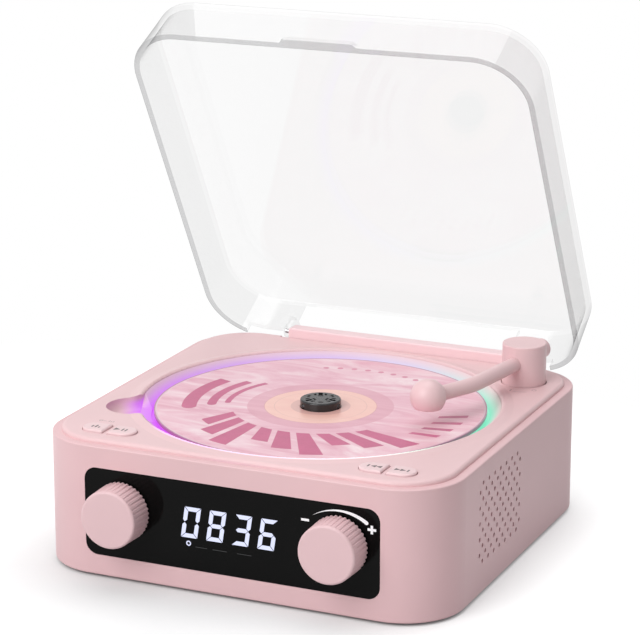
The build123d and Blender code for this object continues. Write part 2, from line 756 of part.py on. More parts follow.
# Knobs: fluted caps on round shafts, each turning in a rotary encoder
for side, name in ((-1, "left"), (1, "right")):
    with BuildPart() as encoder:
        with BuildSketch(Plane.XZ.offset(-display_board_y)):
            with Locations((side * knob_x, knob_z)):
                Rectangle(12.0, 12.4)
        extrude(amount=6.6)
        with BuildSketch(Plane.XZ.offset(-display_board_y + 6.6)):
            with Locations((side * knob_x, knob_z)):
                Circle(4.0)
        extrude(amount=4.4)
        with BuildSketch(Plane.XZ.offset(-display_board_y + 11.0)):
            with Locations((side * knob_x, knob_z)):
                Circle(shaft_r + running)
        extrude(amount=-8.0, mode=Mode.SUBTRACT)
    save(encoder, f"{name}_encoder")

    with BuildPart() as knob_shaft:
        with BuildSketch(Plane.XZ.offset(-display_board_y + 3.3)):
            with Locations((side * knob_x, knob_z)):
                Circle(shaft_r)
        extrude(amount=-knob_back_y + 7.6 + display_board_y - 3.3)
    save(knob_shaft, f"{name}_knob_shaft")

    with BuildPart() as knob:
        with BuildSketch(Plane.XZ.offset(-knob_back_y)):
            with Locations((side * knob_x, knob_z)):
                Circle(knob_r)
        extrude(amount=knob_len, taper=knob_taper)
        fillet(knob.edges().group_by(Axis.Y)[0], 0.9)
        with BuildSketch(Plane.XZ.offset(-knob_back_y)):
            with Locations((side * knob_x, knob_z)):
                with PolarLocations(knob_r + 0.16, flutes):
                    Circle(flute_r)
        extrude(amount=knob_len - 1.0, mode=Mode.SUBTRACT)
        with BuildSketch(Plane.XZ.offset(-knob_back_y)):
            with Locations((side * knob_x, knob_z)):
                Circle(shaft_r + 0.02)
        extrude(amount=7.8, mode=Mode.SUBTRACT)
        with BuildSketch(Plane.XZ.offset(-knob_back_y)):
            with Locations((side * knob_x, knob_z)):
                Circle(8.6)
                Circle(4.8, mode=Mode.SUBTRACT)
        extrude(amount=6.0, mode=Mode.SUBTRACT)
    save(knob, f"{name}_knob")

# Deck buttons: each pair is one long pill, parted by a gap in the middle
cap_w = (pair_w - pair_gap) / 2
buttons = {"mode_button": (-1, -1), "play_button": (-1, 1),
           "previous_button": (1, -1), "next_button": (1, 1)}
switch_points = []
for name, (side, end) in buttons.items():
    cap_x = side * button_x + end * (pair_gap + cap_w) / 2
    switch_points.append((cap_x, button_y))
    with BuildPart() as button:
        for grow, low, high in ((0.0, ledge_z - 0.6, deck_z + button_rise),
                                (flange_w, ledge_z - 0.1 - flange_t, ledge_z - 0.1)):
            with BuildSketch(Plane.XY.offset(low)) as cap:
                with Locations((cap_x, button_y)):
                    Rectangle(cap_w + min(grow, pair_gap / 2 - 0.4), button_d + 2 * grow)
                outer = cap.vertices().sort_by(Axis.X)
                outer = outer[-2:] if end > 0 else outer[:2]
                fillet(outer, button_d / 2 - 0.05)
            extrude(amount=high - low)
            if grow == 0.0:
                fillet(button.edges().group_by(Axis.Z)[-1], 0.7)
        with BuildSketch(Plane.XY.offset(switch_top - 0.4)):
            with Locations((cap_x, button_y)):
                Circle(1.5)
        extrude(amount=ledge_z - flange_t - switch_top + 0.4)
    save(button, name)

with BuildPart() as key_boards:
    with BuildSketch(Plane.XY.offset(key_board_z)):
        for side in (-1, 1):
            with Locations((side * button_x, button_y)):
                RectangleRounded(20.0, 15.6, 3.0)
        with Locations(*key_post_points):
            Circle(small_screw_r + slack, mode=Mode.SUBTRACT)
    extrude(amount=1.2)
save(key_boards, "key_boards")

with BuildPart() as key_switches:
    with BuildSketch(Plane.XY.offset(key_board_z + 1.2)):
        with Locations(*switch_points):
            Rectangle(6.0, 6.0)
    extrude(amount=switch_top - key_board_z - 1.2)
    with BuildSketch(Plane.XY.offset(switch_top)):
        with Locations(*switch_points):
            Circle(1.8)
    extrude(amount=-1.3, mode=Mode.SUBTRACT)
save(key_switches, "key_switches")

# Spindle: motor under the chassis, shaft, hub with spring balls, rubber pad, and the disc
chassis_top = chassis_z + chassis_t
hub_top = disc_top + hub_puck_h
hub_plate_z = disc_z - pad_t - hub_plate_t
with BuildPart() as spindle_motor:
    with BuildSketch(Plane.XY.offset(28.0)):
        with Locations(bay):
            Circle(11.5)
    extrude(amount=chassis_z - 28.0)
    fillet(spindle_motor.edges().group_by(Axis.Z)[0], 1.2)
    with BuildSketch(Plane.XY.offset(chassis_z)):
        with Locations(bay):
            Circle(3.9)
    extrude(amount=chassis_t)
    with BuildSketch(Plane.XY.offset(chassis_top)):
        with Locations(bay):
            Circle(1.0 + running)
    extrude(amount=-6.0, mode=Mode.SUBTRACT)
save(spindle_motor, "spindle_motor")

with BuildPart() as motor_shaft:
    with BuildSketch(Plane.XY.offset(chassis_top - 5.7)):
        with Locations(bay):
            Circle(1.0)
    extrude(amount=hub_plate_z + 2.0 - chassis_top + 5.7)
save(motor_shaft, "motor_shaft")

with BuildPart() as spindle_hub:
    with BuildSketch(Plane.XY.offset(chassis_top + 0.5)):
        with Locations(bay):
            Circle(5.0)
    extrude(amount=hub_plate_z - chassis_top - 0.5)
    with BuildSketch(Plane.XY.offset(hub_plate_z)):
        with Locations(bay):
            Circle(hub_r)
    extrude(amount=hub_plate_t)
    with BuildSketch(Plane.XY.offset(hub_plate_z)):
        with Locations(bay):
            Circle(hub_puck_r)
    extrude(amount=hub_top - hub_plate_z)
    fillet(spindle_hub.edges().group_by(Axis.Z)[-1], hub_top_edge)
    # Slots in the top of the puck: three groups that free the spring catches
    with BuildSketch(Plane.XY.offset(hub_top)):
        with Locations(bay):
            with PolarLocations(0, 3, start_angle=catch_turn):
                with Locations((4.9, 0)):
                    Rectangle(2.6, 1.5)
                with Locations((4.3, 1.9), (4.3, -1.9)):
                    Rectangle(1.7, 0.8)
                with Locations((2.6, 0)):
                    Rectangle(0.8, 2.0)
                with Locations((-4.9, 0)):
                    Rectangle(1.0, 1.7)
    extrude(amount=-1.2, mode=Mode.SUBTRACT)
    with BuildSketch(Plane.XY.offset(chassis_top + 0.5)):
        with Locations(bay):
            Circle(1.02)
    extrude(amount=hub_plate_z + 2.2 - chassis_top - 0.5, mode=Mode.SUBTRACT)
    # Sockets for the balls, bored in from the side
    for angle in (catch_turn, catch_turn + 120, catch_turn + 240):
        out = (cos(radians(angle)), sin(radians(angle)), 0)
        with BuildSketch(Plane(origin=(bay_x, bay_y, disc_top + 0.9), z_dir=out)):
            Circle(1.02)
        extrude(amount=hub_puck_r + 1, mode=Mode.SUBTRACT)
save(spindle_hub, "spindle_hub")

with BuildPart() as hub_balls:
    for angle in (catch_turn, catch_turn + 120, catch_turn + 240):
        ball_x = bay_x + (hub_puck_r - 0.75) * cos(radians(angle))
        ball_y = bay_y + (hub_puck_r - 0.75) * sin(radians(angle))
        with Locations((ball_x, ball_y, disc_top + 0.9)):
            Sphere(1.0)
save(hub_balls, "hub_balls")

with BuildPart() as disc_pad:
    with BuildSketch(Plane.XY.offset(disc_z - pad_t)):
        with Locations(bay):
            Circle(hub_r - 0.3)
            Circle(hub_puck_r + 1.2, mode=Mode.SUBTRACT)
    extrude(amount=pad_t)
save(disc_pad, "disc_pad")

with BuildPart() as compact_disc:
    with BuildSketch(Plane.XY.offset(disc_z)):
        with Locations(bay):
            Circle(disc_r)
            Circle(disc_hole_r, mode=Mode.SUBTRACT)
    extrude(amount=disc_t)
save(compact_disc, "compact_disc")

# Mechanism chassis: steel plate on four dampers, with the rod lugs and the gear's stud
with BuildPart() as mech_chassis:
    with BuildSketch(Plane.XY.offset(chassis_z)):
        with Locations((bay_x - 3.0, (chassis_front + chassis_back) / 2)):
            RectangleRounded(66.0, chassis_back - chassis_front, 3.0)
        with Locations(bay):
            Circle(4.0, mode=Mode.SUBTRACT)
        with Locations((bay_x, chassis_back - 3.0)):
            Rectangle(19.0, chassis_back - bay_y - 18.0, align=(Align.CENTER, Align.MAX),
                      mode=Mode.SUBTRACT)
        with Locations(*mech_points):
            Circle(3.2, mode=Mode.SUBTRACT)
        with Locations((feed_x, pinion_y)):
            Circle(1.6, mode=Mode.SUBTRACT)
    extrude(amount=chassis_t)
    with BuildSketch(Plane.XY.offset(chassis_top)):
        for x in (-rod_x, rod_x):
            for y in (bay_y + 12.2, chassis_back - 1.7):
                with Locations((bay_x + x, y)):
                    Rectangle(2.8, 2.4)
    extrude(amount=2.6)
    with BuildSketch(Plane.XZ.offset(-chassis_back)):
        with Locations((bay_x - rod_x, rod_z), (bay_x + rod_x, rod_z)):
            Circle(rod_r + 0.02)
    extrude(amount=chassis_back - bay_y - 10.5, mode=Mode.SUBTRACT)
    with BuildSketch(Plane.XY.offset(chassis_top)):
        with Locations((feed_x, feed_y)):
            Circle(1.0)
    extrude(amount=2.5)
save(mech_chassis, "mech_chassis")

with BuildPart() as mech_dampers:
    for low, high, r in ((chassis_z - 1.2, chassis_z, 4.4), (chassis_z, chassis_top, 3.15),
                         (chassis_top, bay_under, 4.4)):
        with BuildSketch(Plane.XY.offset(low)):
            with Locations(*mech_points):
                Circle(r)
                Circle(2.35, mode=Mode.SUBTRACT)
        extrude(amount=high - low)
save(mech_dampers, "mech_dampers")

with BuildPart() as mech_screws:
    screws_up(mech_points, chassis_z - 1.2, 4.6, small_screw_r, 4.0, 1.0)
save(mech_screws, "mech_screws")

with BuildPart() as guide_rods:
    with BuildSketch(Plane.XZ.offset(-(chassis_back - 0.6))):
        with Locations((bay_x - rod_x, rod_z), (bay_x + rod_x, rod_z)):
            Circle(rod_r)
    extrude(amount=chassis_back - 0.6 - bay_y - 11.1)
save(guide_rods, "guide_rods")

# Optical sled: slides along the rods, with the rack on its left side
lens_y = bay_y + lens_start
with BuildPart() as optical_sled:
    with BuildSketch(Plane.XY.offset(chassis_top + 0.3)):
        with Locations((bay_x, lens_y)):
            Rectangle(24.4, 16.0)
    extrude(amount=2.3)
    with BuildSketch(Plane.XY.offset(35.5)):
        with Locations((bay_x, lens_y)):
            RectangleRounded(17.0, 12.0, 1.5)
    extrude(amount=chassis_top + 0.4 - 35.5)
    with BuildSketch(Plane.XY.offset(42.0)):
        with Locations((rack_x + 0.6, lens_y)):
            Rectangle(bay_x - 12.0 - rack_x - 0.6, 16.0, align=(Align.MIN, Align.CENTER))
        with Locations((rack_x + 0.6, feed_y - 36.0)):
            Rectangle(2.2, 42.4, align=(Align.MIN, Align.MIN))
        # Rack teeth, with a gap in line with the gear
        for i in range(rack_teeth):
            middle = feed_y + (i - rack_behind + 0.5) * rack_pitch
            half_pitch = rack_pitch / 4 - gear_backlash / 2
            root, tip = 0.6 + 0.05, -0.45
            with BuildLine():
                Polyline((rack_x + root, middle - half_pitch - root * tan(radians(20))),
                         (rack_x + tip, middle - half_pitch - tip * tan(radians(20))),
                         (rack_x + tip, middle + half_pitch + tip * tan(radians(20))),
                         (rack_x + root, middle + half_pitch + root * tan(radians(20))), close=True)
            make_face()
    extrude(amount=1.0)
    with BuildSketch(Plane.XY.offset(chassis_top + 2.6)):
        with Locations((bay_x, lens_y)):
            Circle(3.4)
    extrude(amount=1.4)
    with BuildSketch(Plane.XZ.offset(-(lens_y + 9.0))):
        with Locations((bay_x - rod_x, rod_z), (bay_x + rod_x, rod_z)):
            Circle(rod_r + running)
    extrude(amount=18.0, mode=Mode.SUBTRACT)
save(optical_sled, "optical_sled")

with BuildPart() as sled_lens:
    with BuildSketch(Plane.XY.offset(chassis_top + 4.0)):
        with Locations((bay_x, lens_y)):
            Circle(2.5)
    extrude(amount=0.5)
    fillet(sled_lens.edges().group_by(Axis.Z)[-1], 0.35)
save(sled_lens, "sled_lens")

with BuildPart() as feed_gear:
    with BuildSketch(Plane(origin=(feed_x, feed_y, chassis_top + 0.3))):
        Polygon(*gear_points(large_teeth), align=None)
    extrude(amount=0.9)
    with BuildSketch(Plane(origin=(feed_x, feed_y, chassis_top + 1.2))):
        Polygon(*gear_points(small_teeth), align=None)
    extrude(amount=1.3)
    with BuildSketch(Plane(origin=(feed_x, feed_y, chassis_top + 0.3))):
        Circle(1.0 + running)
    extrude(amount=2.4, mode=Mode.SUBTRACT)
save(feed_gear, "feed_gear")

with BuildPart() as feed_pinion:
    with BuildSketch(Plane(origin=(feed_x, pinion_y, chassis_top + 0.3))):
        Polygon(*gear_points(pinion_teeth), align=None)
    extrude(amount=0.9)
    with BuildSketch(Plane(origin=(feed_x, pinion_y, chassis_z - 6.0))):
        Circle(0.75)
    extrude(amount=chassis_t + 6.4)
save(feed_pinion, "feed_pinion")

with BuildPart() as feed_motor:
    with BuildSketch(Plane.XY.offset(chassis_z)):
        with Locations((feed_x, pinion_y)):
            Circle(6.0)
    extrude(amount=-12.0)
    fillet(feed_motor.edges().group_by(Axis.Z)[0], 0.8)
    with BuildSketch(Plane.XY.offset(chassis_z)):
        with Locations((feed_x, pinion_y)):
            Circle(0.75 + running)
    extrude(amount=-6.3, mode=Mode.SUBTRACT)
save(feed_motor, "feed_motor")

# Speakers: one behind each side grille
seat_x = inner_w / 2 - speaker_off
with BuildPart() as cone_shape:
    with BuildSketch(Plane.XZ):
        with BuildLine():
            Polyline((14.6, seat_x - 0.2), (15.6, seat_x - 0.2), (15.6, seat_x - 0.8),
                     (14.9, seat_x - 0.8), (6.0, seat_x - 7.6), (0, seat_x - 7.6),
                     (0, seat_x - 5.6), (3.0, seat_x - 6.0), (5.6, seat_x - 7.0), close=True)
        make_face()
    revolve(axis=Axis.Z)


def on_side(shape, side):
    """Turn a shape drawn along +Z so that it points out through one side wall."""
    return shape.rotate(Axis.Y, side * 90).moved(Location((0, speaker_y, speaker_z)))


with BuildPart() as basket_shape:
    with BuildSketch(Plane.XY.offset(seat_x)):
        RectangleRounded(32.4, 36.0, 3.0)
        with Locations(*[(s * 13.6, t * 14.3) for s in (-1, 1) for t in (-1, 1)]):
            Circle(small_screw_r + slack, mode=Mode.SUBTRACT)
    extrude(amount=-1.2)
    with BuildSketch(Plane.XZ):
        with BuildLine():
            Polyline((0, seat_x - 17.0), (12.4, seat_x - 17.0), (12.4, seat_x - 10.4),
                     (16.0, seat_x - 1.0), (16.0, seat_x), (0, seat_x), close=True)
        make_face()
    revolve(axis=Axis.Z)
    with BuildSketch(Plane.XZ):
        with BuildLine():
            Polyline((0, seat_x + 0.1), (15.65, seat_x + 0.1), (15.65, seat_x - 0.8),
                     (14.9, seat_x - 0.8), (6.0, seat_x - 7.6), (0, seat_x - 7.6), close=True)
        make_face()
    revolve(axis=Axis.Z, mode=Mode.SUBTRACT)

for side, name in ((-1, "left"), (1, "right")):
    speaker = on_side(basket_shape.part, side)
    speaker.label = f"{name}_speaker"
    export_step(speaker, f"parts/{name}_speaker.step")
with BuildPart() as speaker_cones:
    for side in (-1, 1):
        add(on_side(cone_shape.part, side))
save(speaker_cones, "speaker_cones")

with BuildPart() as speaker_screws:
    for side in (-1, 1):
        with BuildSketch(Plane.YZ.offset(side * (seat_x - 1.2))):
            with Locations(*speaker_screw_points):
                Circle(small_head_r)
        extrude(amount=-side * small_head_h)
        with BuildSketch(Plane.YZ.offset(side * (seat_x - 1.2))):
            with Locations(*speaker_screw_points):
                Circle(small_screw_r)
        extrude(amount=side * 5.0)
save(speaker_screws, "speaker_screws")

# Tonearm: post on a shaft in the deck's cup, bent tube, ball head and small rear weight
out_len = sqrt((bend_x - post_x) ** 2 + (bend_y - post_y) ** 2)
out_dir = ((bend_x - post_x) / out_len, (bend_y - post_y) / out_len)
in_len = sqrt((head_x - bend_x) ** 2 + (head_y - bend_y) ** 2)
in_dir = ((head_x - bend_x) / in_len, (head_y - bend_y) / in_len)
tube_start = (post_x + 3.0 * out_dir[0], post_y + 3.0 * out_dir[1], arm_z)
tube_end = (head_x - 3.4 * in_dir[0], head_y - 3.4 * in_dir[1], arm_z)
post_low = cup_floor_z + cup_floor_t + 0.3
weight_z = arm_z + weight_rise
with BuildPart() as tonearm_post:
    with BuildSketch(Plane.XY.offset(post_low)):
        with Locations(post):
            Circle(post_r)
    extrude(amount=post_top - post_low)
    fillet(tonearm_post.edges().group_by(Axis.Z)[-1], 0.5)
    with BuildSketch(Plane(origin=tube_start, z_dir=(*out_dir, 0))):
        Circle(arm_r + 0.02)
    extrude(amount=10.0, mode=Mode.SUBTRACT)
    with BuildSketch(Plane(origin=(post_x, post_y, weight_z), z_dir=(-out_dir[0], -out_dir[1], 0))):
        Circle(1.52)
    extrude(amount=10.0, mode=Mode.SUBTRACT)
    with BuildSketch(Plane.XY.offset(post_low)):
        with Locations(post):
            Circle(arm_shaft_r + 0.02)
    extrude(amount=6.0, mode=Mode.SUBTRACT)
save(tonearm_post, "tonearm_post")

with BuildPart() as tonearm_tube:
    with BuildLine() as arm_path:
        FilletPolyline(tube_start, (bend_x, bend_y, arm_z), tube_end, radius=arm_bend_r)
    with BuildSketch(Plane(origin=tube_start, z_dir=(*out_dir, 0))):
        Circle(arm_r)
    sweep(path=arm_path.wires()[0])
save(tonearm_tube, "tonearm_tube")

with BuildPart() as tonearm_head:
    with Locations((head_x, head_y, arm_z)):
        Sphere(head_r)
    with BuildSketch(Plane.XY.offset(arm_z - head_r - 1)):
        with Locations((head_x, head_y)):
            Rectangle(20, 20)
    extrude(amount=head_r - head_flat + 1, mode=Mode.SUBTRACT)
    with BuildSketch(Plane(origin=tube_end, z_dir=(-in_dir[0], -in_dir[1], 0))):
        Circle(arm_r + 0.02)
    extrude(amount=8.0, mode=Mode.SUBTRACT)
save(tonearm_head, "tonearm_head")

with BuildPart() as tonearm_weight:
    back = (-out_dir[0], -out_dir[1], 0)
    with BuildSketch(Plane(origin=(post_x + 8.6 * back[0], post_y + 8.6 * back[1], weight_z), z_dir=back)):
        Circle(weight_r)
    extrude(amount=weight_len)
    fillet(tonearm_weight.edges().filter_by(GeomType.CIRCLE), 0.5)
    with BuildSketch(Plane(origin=(post_x + 0.5 * back[0], post_y + 0.5 * back[1], weight_z), z_dir=back)):
        Circle(1.5)
    extrude(amount=8.6)
save(tonearm_weight, "tonearm_weight")

with BuildPart() as tonearm_shaft:
    with BuildSketch(Plane.XY.offset(37.0)):
        with Locations(post):
            Circle(arm_shaft_r)
    extrude(amount=post_low + 5.8 - 37.0)
save(tonearm_shaft, "tonearm_shaft")

with BuildPart() as arm_switch:
    with BuildSketch(Plane.XY.offset(36.0)):
        with Locations(post):
            RectangleRounded(14.0, 14.0, 1.0)
    extrude(amount=cup_floor_z - 36.0)
    with BuildSketch(Plane.XY.offset(36.7)):
        with Locations(post):
            Circle(arm_shaft_r + running)
    extrude(amount=8.0, mode=Mode.SUBTRACT)
save(arm_switch, "arm_switch")

# Main board on the bottom cover's standoffs, with its larger components
board_top = board_z + board_t
with BuildPart() as main_board:
    with BuildSketch(Plane.XY.offset(board_z)):
        with Locations((0, (board_front + board_back) / 2)):
            Rectangle(2 * board_half, board_back - board_front)
        with Locations(*main_board_points):
            Circle(small_screw_r + slack, mode=Mode.SUBTRACT)
    extrude(amount=board_t)
save(main_board, "main_board")

with BuildPart() as board_parts:
    with BuildSketch(Plane.XY.offset(board_top)):
        with Locations((-12, 34), (14, 30)):
            Rectangle(12.0, 12.0)
        with Locations((-30, 12), (-30, 24), (-18, 12)):
            Rectangle(5.0, 8.0)
    extrude(amount=1.6)
    with BuildSketch(Plane.XY.offset(board_top)):
        with Locations((-38, 40), (-38, 52), (-26, 48), (34, 10), (34, 22)):
            Circle(4.0)
    extrude(amount=11.0)
    with BuildSketch(Plane.XY.offset(board_top)):
        with Locations((0, -11)):
            Rectangle(20.0, 4.0)
        with Locations((38, -11), (-38, -11)):
            Rectangle(8.0, 5.0)
    extrude(amount=4.0)
save(board_parts, "board_parts")

with BuildPart() as board_screws:
    for points, seat, head_z in ((main_board_points, board_top, 1),):
        with BuildSketch(Plane.XY.offset(seat)):
            with Locations(*points):
                Circle(small_head_r)
        extrude(amount=small_head_h)
        with BuildSketch(Plane.XY.offset(seat)):
            with Locations(*points):
                Circle(small_screw_r)
        extrude(amount=-5.8)
    screws_up(key_post_points, key_board_z, 4.2, small_screw_r, small_head_r, small_head_h)
    with BuildSketch(Plane.XZ.offset(-(display_board_y + board_t))):
        with Locations(*board_boss_points):
            Circle(small_head_r)
    extrude(amount=-small_head_h)
    with BuildSketch(Plane.XZ.offset(-(display_board_y + board_t))):
        with Locations(*board_boss_points):
            Circle(small_screw_r)
    extrude(amount=6.6)
save(board_screws, "board_screws")

# Rear ports, soldered to the main board behind a dark panel
usb_x, aux_x, power_x = port_x - 19.0, port_x, port_x + 18.0
socket_z = board_top + 3.6
jack_z = board_top + 4.2
with BuildPart() as port_panel:
    with BuildSketch(Plane.XZ.offset(-rear_y)):
        with Locations((port_x, port_z)):
            RectangleRounded(port_w, port_h, port_corner)
        with Locations((usb_x, socket_z)):
            Rectangle(13.6, 6.2, mode=Mode.SUBTRACT)
        with Locations((aux_x, jack_z)):
            Circle(3.1, mode=Mode.SUBTRACT)
        with Locations((power_x, socket_z)):
            RectangleRounded(9.6, 3.8, 1.6, mode=Mode.SUBTRACT)
    extrude(amount=port_t)
save(port_panel, "port_panel")

with BuildPart() as usb_socket:
    with BuildSketch(Plane.XZ.offset(-rear_y + 0.2)):
        with Locations((usb_x, socket_z)):
            Rectangle(13.2, 5.8)
    extrude(amount=13.0)
    with BuildSketch(Plane.XZ.offset(-rear_y + 0.2)):
        with Locations((usb_x, socket_z)):
            Rectangle(12.4, 5.0)
    extrude(amount=12.0, mode=Mode.SUBTRACT)
    with BuildSketch(Plane.XZ.offset(-rear_y + 2.0)):
        with Locations((usb_x, socket_z + 1.1)):
            Rectangle(11.4, 1.6)
    extrude(amount=10.6)
    with BuildSketch(Plane.XZ.offset(-rear_y + 2.2)):
        with Locations((usb_x, board_top)):
            Rectangle(11.0, socket_z - 2.9 - board_top + 0.1, align=(Align.CENTER, Align.MIN))
    extrude(amount=10.0)
save(usb_socket, "usb_socket")

with BuildPart() as aux_jack:
    with BuildSketch(Plane.XZ.offset(-rear_y + 2.2)):
        with Locations((aux_x, board_top)):
            Rectangle(8.0, 8.0, align=(Align.CENTER, Align.MIN))
    extrude(amount=12.6)
    with BuildSketch(Plane.XZ.offset(-rear_y + 0.2)):
        with Locations((aux_x, jack_z)):
            Circle(3.0)
    extrude(amount=2.2)
    with BuildSketch(Plane.XZ.offset(-rear_y + 0.2)):
        with Locations((aux_x, jack_z)):
            Circle(jack_r)
    extrude(amount=jack_len, mode=Mode.SUBTRACT)
save(aux_jack, "aux_jack")

with BuildPart() as power_inlet:
    with BuildSketch(Plane.XZ.offset(-rear_y + 0.2)):
        with Locations((power_x, socket_z)):
            RectangleRounded(9.2, 3.4, 1.5)
    extrude(amount=8.0)
    with BuildSketch(Plane.XZ.offset(-rear_y + 0.2)):
        with Locations((power_x, socket_z)):
            RectangleRounded(8.4, 2.6, 1.2)
    extrude(amount=6.4, mode=Mode.SUBTRACT)
    with BuildSketch(Plane.XZ.offset(-rear_y + 1.2)):
        with Locations((power_x, socket_z)):
            Rectangle(6.6, 0.8)
    extrude(amount=5.6)
    with BuildSketch(Plane.XZ.offset(-rear_y + 2.2)):
        with Locations((power_x, board_top)):
            Rectangle(7.0, socket_z - 1.7 - board_top + 0.1, align=(Align.CENTER, Align.MIN))
    extrude(amount=6.0)
save(power_inlet, "power_inlet")

# Flat cable from the chassis down to the main board
with BuildPart() as flat_cable:
    with BuildSketch(Plane.YZ.offset(-7.0)):
        with BuildLine():
            FilletPolyline((-19.0, chassis_z - 0.25), (-27.5, chassis_z - 0.25), (-27.5, 27.0),
                           (-11.0, 22.0), (-11.0, board_top + 4.0), radius=3.0)
        trace(line_width=0.4)
    extrude(amount=14.0)
save(flat_cable, "flat_cable")
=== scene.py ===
from math import atan2, cos, pi, radians, sin, sqrt

import bmesh
import bpy
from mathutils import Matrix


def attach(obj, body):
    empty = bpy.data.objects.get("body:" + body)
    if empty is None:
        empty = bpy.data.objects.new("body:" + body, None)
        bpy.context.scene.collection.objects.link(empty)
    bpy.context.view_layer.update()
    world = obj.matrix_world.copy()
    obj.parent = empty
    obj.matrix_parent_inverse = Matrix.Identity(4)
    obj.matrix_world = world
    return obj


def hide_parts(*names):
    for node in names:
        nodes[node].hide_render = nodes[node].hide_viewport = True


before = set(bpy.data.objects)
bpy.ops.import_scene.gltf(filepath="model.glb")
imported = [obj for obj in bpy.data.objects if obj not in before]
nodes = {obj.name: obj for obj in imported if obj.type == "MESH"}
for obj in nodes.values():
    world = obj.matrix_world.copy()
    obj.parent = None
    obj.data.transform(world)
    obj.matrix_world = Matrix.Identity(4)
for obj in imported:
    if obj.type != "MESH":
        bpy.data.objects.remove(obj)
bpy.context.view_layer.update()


# The camera: a long lens from the front right, a little above the deck, as in a shop picture.
# Its place, turn and lens were solved from the outlines in the photograph.
camera_data = bpy.data.cameras.new("camera")
camera_data.sensor_width = 36.0
camera_data.lens = 146.15
camera_data.clip_end = 20.0
camera = bpy.data.objects.new("camera", camera_data)
camera.location = (0.36533, -0.81662, 0.33212)
camera.rotation_euler = (pi / 2 - 0.27402, 0.0, 0.42051)
bpy.context.scene.collection.objects.link(camera)
bpy.context.scene.camera = camera
bpy.context.scene.view_settings.view_transform = "Standard"


# The room: an even pale sky that lights the object softly. The camera, glass and gloss see
# it as plain white.
world = bpy.data.worlds.new("pale_room")
bpy.context.scene.world = world
world.use_nodes = True
sky = world.node_tree
sky.nodes.clear()
sky_out = sky.nodes.new("ShaderNodeOutputWorld")
sky_light = sky.nodes.new("ShaderNodeBackground")
sky_light.inputs["Color"].default_value = (0.97, 0.98, 1.0, 1.0)
sky_light.inputs["Strength"].default_value = 0.40
sky_seen = sky.nodes.new("ShaderNodeBackground")
sky_seen.inputs["Color"].default_value = (1.0, 1.0, 1.0, 1.0)
sky_seen.inputs["Strength"].default_value = 1.0
sky_rays = sky.nodes.new("ShaderNodeLightPath")
sky_straight = sky.nodes.new("ShaderNodeMath")
sky_straight.operation = "MAXIMUM"
sky.links.new(sky_rays.outputs["Is Camera Ray"], sky_straight.inputs[0])
sky.links.new(sky_rays.outputs["Is Transmission Ray"], sky_straight.inputs[1])
sky_any = sky.nodes.new("ShaderNodeMath")
sky_any.operation = "MAXIMUM"
sky.links.new(sky_straight.outputs[0], sky_any.inputs[0])
sky.links.new(sky_rays.outputs["Is Glossy Ray"], sky_any.inputs[1])
sky_mix = sky.nodes.new("ShaderNodeMixShader")
sky.links.new(sky_any.outputs[0], sky_mix.inputs["Fac"])
sky.links.new(sky_light.outputs[0], sky_mix.inputs[1])
sky.links.new(sky_seen.outputs[0], sky_mix.inputs[2])
sky.links.new(sky_mix.outputs[0], sky_out.inputs["Surface"])


# The floor: a wide white sweep that keeps the soft shadow under the body. It adds a glow for the
# camera, glass and gloss only, which grows with distance until the floor is plain white. The glow
# is kept low near the body and dimmed by ambient occlusion, a painted contact shade round the
# body.
floor_half = 6.0
floor_mesh = bpy.data.meshes.new("floor")
floor_mesh.from_pydata([(-floor_half, -floor_half, 0), (floor_half, -floor_half, 0),
                        (floor_half, floor_half, 0), (-floor_half, floor_half, 0)],
                       [], [(0, 1, 2, 3)])
floor = bpy.data.objects.new("floor", floor_mesh)
bpy.context.scene.collection.objects.link(floor)
floor_paint = bpy.data.materials.new("floor_white")
floor_paint.use_nodes = True
tree = floor_paint.node_tree
tree.nodes.clear()
floor_out = tree.nodes.new("ShaderNodeOutputMaterial")
floor_matt = tree.nodes.new("ShaderNodeBsdfDiffuse")
floor_matt.inputs["Color"].default_value = (0.58, 0.58, 0.58, 1.0)
floor_glow = tree.nodes.new("ShaderNodeEmission")
floor_glow.inputs["Color"].default_value = (1.0, 1.0, 1.0, 1.0)
floor_place = tree.nodes.new("ShaderNodeTexCoord")
floor_reach = tree.nodes.new("ShaderNodeVectorMath")
floor_reach.operation = "LENGTH"
floor_shift = tree.nodes.new("ShaderNodeMapping")
floor_shift.inputs["Location"].default_value = (0.06, 0.12, 0.0)
tree.links.new(floor_place.outputs["Object"], floor_shift.inputs["Vector"])
tree.links.new(floor_shift.outputs["Vector"], floor_reach.inputs[0])
# The glow is lowest near the body: painted shade round it.
floor_rise = tree.nodes.new("ShaderNodeMapRange")
floor_rise.inputs["From Min"].default_value = 0.05
floor_rise.inputs["From Max"].default_value = 0.19
floor_rise.inputs["To Min"].default_value = 0.51
floor_rise.inputs["To Max"].default_value = 0.87
tree.links.new(floor_reach.outputs["Value"], floor_rise.inputs["Value"])
# Ambient occlusion dims the glow close to the body: a painted contact shade.
floor_contact_shade = tree.nodes.new("ShaderNodeAmbientOcclusion")
floor_contact_shade.inputs["Distance"].default_value = 0.07
floor_glow_painted_shade = tree.nodes.new("ShaderNodeMath")
floor_glow_painted_shade.operation = "MULTIPLY"
tree.links.new(floor_rise.outputs["Result"], floor_glow_painted_shade.inputs[0])
tree.links.new(floor_contact_shade.outputs["AO"], floor_glow_painted_shade.inputs[1])
tree.links.new(floor_glow_painted_shade.outputs[0], floor_glow.inputs["Strength"])
floor_rays = tree.nodes.new("ShaderNodeLightPath")
floor_seen = tree.nodes.new("ShaderNodeMath")
floor_seen.operation = "MAXIMUM"
tree.links.new(floor_rays.outputs["Is Camera Ray"], floor_seen.inputs[0])
tree.links.new(floor_rays.outputs["Is Transmission Ray"], floor_seen.inputs[1])
floor_any = tree.nodes.new("ShaderNodeMath")
floor_any.operation = "MAXIMUM"
